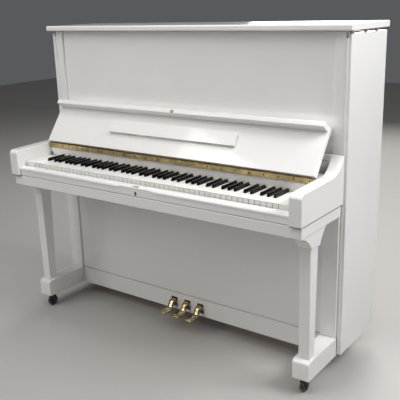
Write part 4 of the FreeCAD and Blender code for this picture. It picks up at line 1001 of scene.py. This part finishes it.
def makeNameStrip(leafLow):
    # a grey strip under the leaf, painted shade for the quirk line there, and the felt that closes the gap
    # above the keys
    look = inMetres(stripLook)
    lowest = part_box("name_board")[0].z
    low, high = [span for span in nodeSpans("name_board") if span[0].z < lowest + millimetre][0]
    boxPiece("quirkName", (low.x + look["quirkEnd"], leafLow.y - look["skin"], leafLow.z - look["quirkDrop"]),
             (high.x - look["quirkEnd"], leafLow.y + look["quirkDeep"], leafLow.z - look["skin"]),
             look["quirkSoften"], quirkGrey, "case")
    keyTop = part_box("key_c4")[1].z
    boxPiece("nameFelt", (low.x + look["feltEnd"], low.y + look["feltFront"], keyTop + look["feltRise"]),
             (high.x - look["feltEnd"], low.y + look["feltBack"], low.z + look["feltLap"]),
             look["feltSoften"], whiteFelt, "case")


# ---- pedals
pedalLook = {"ringPoints": 28, "padPower": 3.2, "neckPower": 2.6,
             # distance back from the tip, height above the pad's middle, half width, half thickness, tilt
             "stations": ((0.0, -1.0, 13.0, 2.2, 0), (1.2, -0.4, 16.6, 4.2, 0), (4.0, 0.3, 19.4, 5.4, -4),
                          (10.0, 0.8, 21.2, 5.6, -2), (24.0, 0.3, 21.6, 5.2, 0), (40.0, 0.0, 20.8, 5.0, 3),
                          (51.0, 0.8, 18.0, 5.2, 14), (58.0, 3.2, 15.6, 5.8, 34),
                          (63.5, 8.5, 14.4, 6.2, 54), (68.5, 15.5, 14.4, 6.4, 62),
                          (73.0, 23.0, 14.6, 6.6, 60), (78.0, 29.5, 14.6, 6.8, 44),
                          (85.0, 33.0, 14.4, 6.6, 18), (93.0, 33.6, 13.8, 6.2, -2),
                          (103.0, 31.6, 12.4, 6.0, -8),
                          (116.0, 30.0, 11.6, 6.0, 0), (150.0, 30.0, 11.8, 5.9, 0),
                          (200.0, 30.0, 11.8, 5.9, 0), (262.0, 30.0, 11.8, 5.9, 0),
                          (272.0, 30.0, 11.2, 5.2, 0), (275.5, 30.0, 9.0, 3.0, 0))}


slotLook = {"half": 17.0, "foot": 74.0, "head": 118.0, "felt": 0.8, "setBack": 0.6}


def makePedal(hand):
    node = "pedal_" + hand
    solids = sorted(nodeSolids(node), key=lambda solid: -(spanOf(solid)[1] - spanOf(solid)[0]).length)
    low, high = spanOf(solids[0])
    middle = (low.x + high.x) / 2
    base = low.z + 6 * millimetre
    rings = []
    for back, rise, wide, thick, tilt in pedalLook["stations"]:
        power = pedalLook["padPower"] if back < 50 else pedalLook["neckPower"]
        angle = math.radians(tilt)
        centre = Vector((middle, low.y + back * millimetre, base + rise * millimetre))

        def put(a, b, centre=centre, angle=angle):
            return centre + Vector((a, -b * math.sin(angle), b * math.cos(angle)))
        rings.append(roundRing(wide * millimetre, thick * millimetre, pedalLook["ringPoints"], power, put))
    piece = loft("brass_" + node, rings)
    smooth = piece.modifiers.new("smooth", "SUBSURF")
    smooth.levels = smooth.render_levels = 1
    bakeModifiers(piece)
    finishPiece(piece, pedalBrass, bodyOf[node], node)
    low, high = spanOf(solids[1])
    wide = (high.x - low.x) / 2
    tall = high.z - low.z
    link = turned("link_" + node, [(0, 0), (wide * 1.5, 0.0004), (wide * 1.5, 0.0024), (wide, 0.0034),
                                   (wide, tall * 0.5), (wide, tall - 0.006), (wide * 0.8, tall - 0.004),
                                   (wide * 0.8, tall - 0.0006), (0, tall)], (0, 0, 1),
                  ((low.x + high.x) / 2, (low.y + high.y) / 2, low.z), 20)
    finishPiece(link, steel, bodyOf[node], None)


def makeSlotFelts():
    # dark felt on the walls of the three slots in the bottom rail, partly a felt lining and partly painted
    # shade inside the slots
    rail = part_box("bottom_rail")
    slot = inMetres(slotLook)
    half, foot, head, felt = slot["half"], slot["foot"], slot["head"], slot["felt"]
    walls = [(-half, felt - half, foot, head), (half - felt, half, foot, head),
             (-half, half, head - felt, head), (-half, half, foot, foot + felt)]
    for hand in ("left", "middle", "right"):
        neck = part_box("pedal_" + hand)
        middle = (neck[0].x + neck[1].x) / 2
        front, back = rail[0].y + slot["setBack"], rail[1].y - slot["setBack"]
        for i, (a, b, low, high) in enumerate(walls):
            shadeFelt("slotFelt_%s_%d" % (hand, i), (middle + a, front, low), (middle + b, back, high),
                      0.0001)


# ---- casters
casterLook = {"tyreRound": 3.2, "hub": 11.0, "hubCap": 5.5, "plateHalf": 26.0, "plateThick": 4.0,
              "plateEdge": 1.4, "cheekFoot": 8.5, "cheekHead": 11.5, "cheekHalf": 1.9, "cheekEdge": 0.6,
              "cheekGap": 3.0, "headGap": 4.9, "axleRadius": 4.0, "axleReach": 5.0,
              # distance from the axis and distance along it
              "housing": ((0, 0), (19.0, 0), (19.0, -2.8), (16.5, -4.4), (16.5, -7.0), (12.0, -8.5),
                          (0, -8.5)),
              "axleHead": ((0, 0), (4.2, 0), (4.2, 0.6), (3.4, 1.6), (0, 2.0))}


def makeWheel(node):
    low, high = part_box(node)
    centre = (low + high) / 2
    radius = (high.z - low.z) / 2
    half = (high.x - low.x) / 2
    curve = casterLook["tyreRound"] * millimetre
    hub = casterLook["hub"] * millimetre
    cap = casterLook["hubCap"] * millimetre
    profile = [(0, -half * 0.86), (cap, -half * 0.86), (cap * 1.2, -half * 0.70), (hub, -half * 0.66),
               (hub * 1.12, -half * 0.92), (radius - curve * 1.2, -half)]
    for k in range(5):
        angle = k * math.pi / 8
        profile.append((radius - curve + curve * math.sin(angle), -half + curve - curve * math.cos(angle)))
    profile += [(r, -d) for r, d in reversed(profile)]
    piece = turned("tyre_" + node, profile, (1, 0, 0), centre, 48)
    finishPiece(piece, tread, bodyOf[node], node)


def makeForks():
    # plate, swivel housing, two cheeks with rounded feet and the axle's heads
    look = inMetres(casterLook)
    wheels = [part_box(node) for node in frame["nodes"] if node.startswith("caster_wheel")]
    pieces = []
    for low, high in nodeSpans("caster_forks"):
        middle = (low + high) / 2
        wheelLow, wheelHigh = min(wheels, key=lambda box: ((box[0] + box[1]) / 2 - middle).length)
        axle = (wheelLow + wheelHigh) / 2
        wide = (wheelHigh.x - wheelLow.x) / 2
        half = look["plateHalf"]
        top = high.z - look["plateThick"]
        corners = [(middle.x + x * half, middle.y + y * half, z) for z in (top, high.z)
                   for x, y in ((-1, -1), (1, -1), (1, 1), (-1, 1))]
        plate = newPiece("forkPlate", corners, boxFaces)
        roundEdges(plate, look["plateEdge"], 2)
        pieces += [plate, turned("forkHousing", look["housing"], (0, 0, 1), (middle.x, middle.y, top), 32)]
        outline = []
        for i in range(9):
            angle = math.pi + i * math.pi / 8
            outline.append((axle.y + look["cheekFoot"] * math.cos(angle),
                            axle.z + look["cheekFoot"] * math.sin(angle)))
        outline += [(axle.y + look["cheekHead"], top), (axle.y - look["cheekHead"], top)]
        for k in (-1, 1):
            cheek = slab("forkCheek", outline, look["cheekHalf"], look["cheekEdge"])
            cheek.data.transform(Matrix.Translation((axle.x + k * (wide + look["cheekGap"]), 0, 0)))
            end = (axle.x + k * (wide + look["headGap"]), axle.y, axle.z)
            pieces += [cheek, turned("axleHead", look["axleHead"], (k, 0, 0), end, 20)]
        reach, radius = wide + look["axleReach"], look["axleRadius"]
        bar = [(0, -reach), (radius, -reach), (radius, reach), (0, reach)]
        pieces.append(turned("axleBar", bar, (1, 0, 0), axle, 20))
    joined = joinPieces("casterForks", pieces)
    finishPiece(joined, darkSteel, "case", "caster_forks")


def joinPieces(name, pieces):
    work = bmesh.new()
    for piece in pieces:
        work.from_mesh(piece.data)
        bpy.data.objects.remove(piece)
    mesh = bpy.data.meshes.new(name)
    work.to_mesh(mesh)
    work.free()
    mesh.shade_smooth()
    mesh.set_sharp_from_angle(angle=math.radians(40))
    joined = bpy.data.objects.new(name, mesh)
    bpy.context.scene.collection.objects.link(joined)
    return joined


def makeRunningGear():
    for hand in ("left", "middle", "right"):
        makePedal(hand)
    makeSlotFelts()
    for node in list(frame["nodes"]):
        if node.startswith("caster_wheel"):
            makeWheel(node)
    makeForks()
    print("pedals and casters made")


# ---- hammers, dampers, pins and strings
actionLook = {"hammerWide": 4.4, "feltTall": 11.5, "shank": 2.6, "damperWide": 4.4, "butt": 9.0,
              "strikeDrop": 12.0, "coreTail": 6.0, "coreNose": 16.0, "coreTall": 5.0, "coreSlim": 2.5,
              "feltMiddle": 12.5, "feltReach": 13.5}


def makeHammers():
    look = inMetres(actionLook)
    spans = nodeSpans("hammers")
    low, high = spans[0]
    buttRadius = look["butt"]
    strike = high.z - look["strikeDrop"]
    foot = low.z + buttRadius
    long = max(b.y for a, b in spans) - min(a.y for a, b in spans)
    headBack = min(a.y for a, b in spans)
    rise = strike - foot
    half = look["hammerWide"]
    radius = look["shank"]
    rod = [(0, 0), (radius, 0), (radius, rise), (0, rise)]
    shank = turned("shankTemplate", rod, (0, 0, 1), (0, 0, 0), 10)
    outline = []
    for i in range(14):
        angle = 2 * math.pi * i / 14
        outline.append((buttRadius * 0.96 * math.cos(angle), buttRadius * 0.96 * math.sin(angle)))
    butt = slab("buttTemplate", outline, half * 0.9, 0.0008)
    tail, nose, thick, slim = -look["coreTail"], look["coreNose"], look["coreTall"], look["coreSlim"]
    core = slab("coreTemplate", [(tail, rise - thick), (nose, rise - slim), (nose, rise + slim),
                                 (tail, rise + thick)], half * 0.9, 0.0005)
    wood = joinPieces("hammerWoodTemplate", [shank, butt, core])
    felt = []
    for i in range(16):
        angle = 2 * math.pi * i / 16
        y = look["feltMiddle"] + look["feltReach"] * math.cos(angle)
        tall = look["feltTall"] * math.sin(angle) * (1.0 - 0.28 * math.cos(angle))
        felt.append((y, rise + tall))
    feltTemplate = slab("feltTemplate", felt, half, 0.0012)
    places = [((a.x + b.x) / 2, low.y + buttRadius, foot) for a, b in spans]
    stretches = [(1, (b.y - headBack) / long, 1) for a, b in spans]
    piece = grown("hammerShanks", placesTree, {"Template": wood, "Material": actionWood}, places)
    finishPiece(piece, actionWood, "hammers", "hammers")
    piece = grown("hammerFelts", placesTree, {"Template": feltTemplate, "Material": whiteFelt}, places,
                  stretches)
    finishPiece(piece, whiteFelt, "hammers", None)
    for template in (wood, feltTemplate):
        dropTemplate(template)


def makeDampers():
    spans = nodeSpans("dampers")
    low = Vector(min(a[k] for a, b in spans) for k in range(3))
    tall = max(b.z for a, b in spans) - low.z
    stem = joinPieces("stemTemplate", [
        turned("stemWire", [(0, 0), (0.0016, 0), (0.0016, tall), (0, tall)], (0, 0, 1), (0, 0.0025, 0), 8),
        slab("stemBlock", [(0.0, 0.0), (0.005, 0.0), (0.005, 0.026), (0.0, 0.022)], 0.0035, 0.0004),
        slab("stemHead", [(0.0005, tall - 0.024), (0.0052, tall - 0.024), (0.0052, tall - 0.002),
                          (0.0005, tall - 0.002)], 0.0042, 0.0005)])
    places = [((a.x + b.x) / 2, a.y, low.z) for a, b in spans]
    piece = grown("damperStems", placesTree, {"Template": stem, "Material": actionWood}, places)
    finishPiece(piece, actionWood, "dampers", "dampers")
    half = actionLook["damperWide"] * millimetre
    outline = [(0, 0.0), (0.85, 0.004), (1.0, 0.007), (1.0, 0.019), (0.85, 0.022), (0, 0.026)]
    wedge = slab("feltWedge", outline, half, 0.0007)
    felts = [((a.x + b.x) / 2, a.y + 0.0052, b.z - 0.0262) for a, b in spans]
    depths = [(1, b.y - a.y - 0.0054, 1) for a, b in spans]
    piece = grown("damperFelts", placesTree, {"Template": wedge, "Material": whiteFelt}, felts, depths)
    finishPiece(piece, whiteFelt, "dampers", None)
    for template in (stem, wedge):
        dropTemplate(template)


def makePins():
    # a square, tapered head to take the tuning key, and three coils of wire by the plate
    spans = nodeSpans("tuning_pins")
    low, high = spans[0]
    radius = (high.x - low.x) / 2
    long = high.y - low.y
    rings = []
    for share, size, power in ((0.0, 0.55, 8), (0.02, 0.66, 8), (0.22, 0.80, 6), (0.28, 0.96, 2.2),
                               (0.34, 1.0, 2), (1.0, 1.0, 2)):
        def put(a, b, y=share * long):
            return Vector((a, y, b))
        rings.append(roundRing(radius * size, radius * size, 16, power, put))
    pin = loft("pinTemplate", rings)
    coils = []
    for k in range(3):
        ring = []
        for i in range(14):
            angle = 2 * math.pi * i / 14
            for j in range(5):
                turn = 2 * math.pi * j / 5
                r = radius + 0.0005 + 0.0005 * math.cos(turn)
                ring.append(Vector((r * math.cos(angle), long * 0.52 + k * 0.0012 + 0.0005 * math.sin(turn),
                                    r * math.sin(angle))))
        faces = []
        for i in range(14):
            for j in range(5):
                a, b = i * 5 + j, i * 5 + (j + 1) % 5
                c, d = ((i + 1) % 14) * 5 + (j + 1) % 5, ((i + 1) % 14) * 5 + j
                faces.append((a, b, c, d))
        coil = newPiece("coil", ring, faces)
        outward(coil)
        coils.append(coil)
    template = joinPieces("pinWithCoils", [pin] + coils)
    places = [((a.x + b.x) / 2, a.y, (a.z + b.z) / 2) for a, b in spans]
    turns = [(0, 0.7 * math.sin(7.3 * i), 0) for i in range(len(places))]
    piece = grown("tuningPins", placesTree, {"Template": template, "Material": steel}, places, None, turns)
    finishPiece(piece, steel, "case", "tuning_pins")
    dropTemplate(template)


def makeInside():
    makeHammers()
    makeDampers()
    makePins()
    strings = frame["nodes"]["strings"].data
    strings.materials.clear()
    strings.materials.append(wire)
    print("action, pins and strings made")


makeCamera()
makeLights()
makeFloor()
makeCasework()
makeBenchWork()
makeKeyboard()
makeHinge()
makeFittings()
makeRunningGear()
makeInside()

for nodeName, nodeObject in frame["nodes"].items():
    if not nodeObject.hide_render and nodeName not in ("strings", "key_frame"):
        nodeObject.data.materials.clear()
        nodeObject.data.materials.append(materialOf[slotOf[nodeName]])
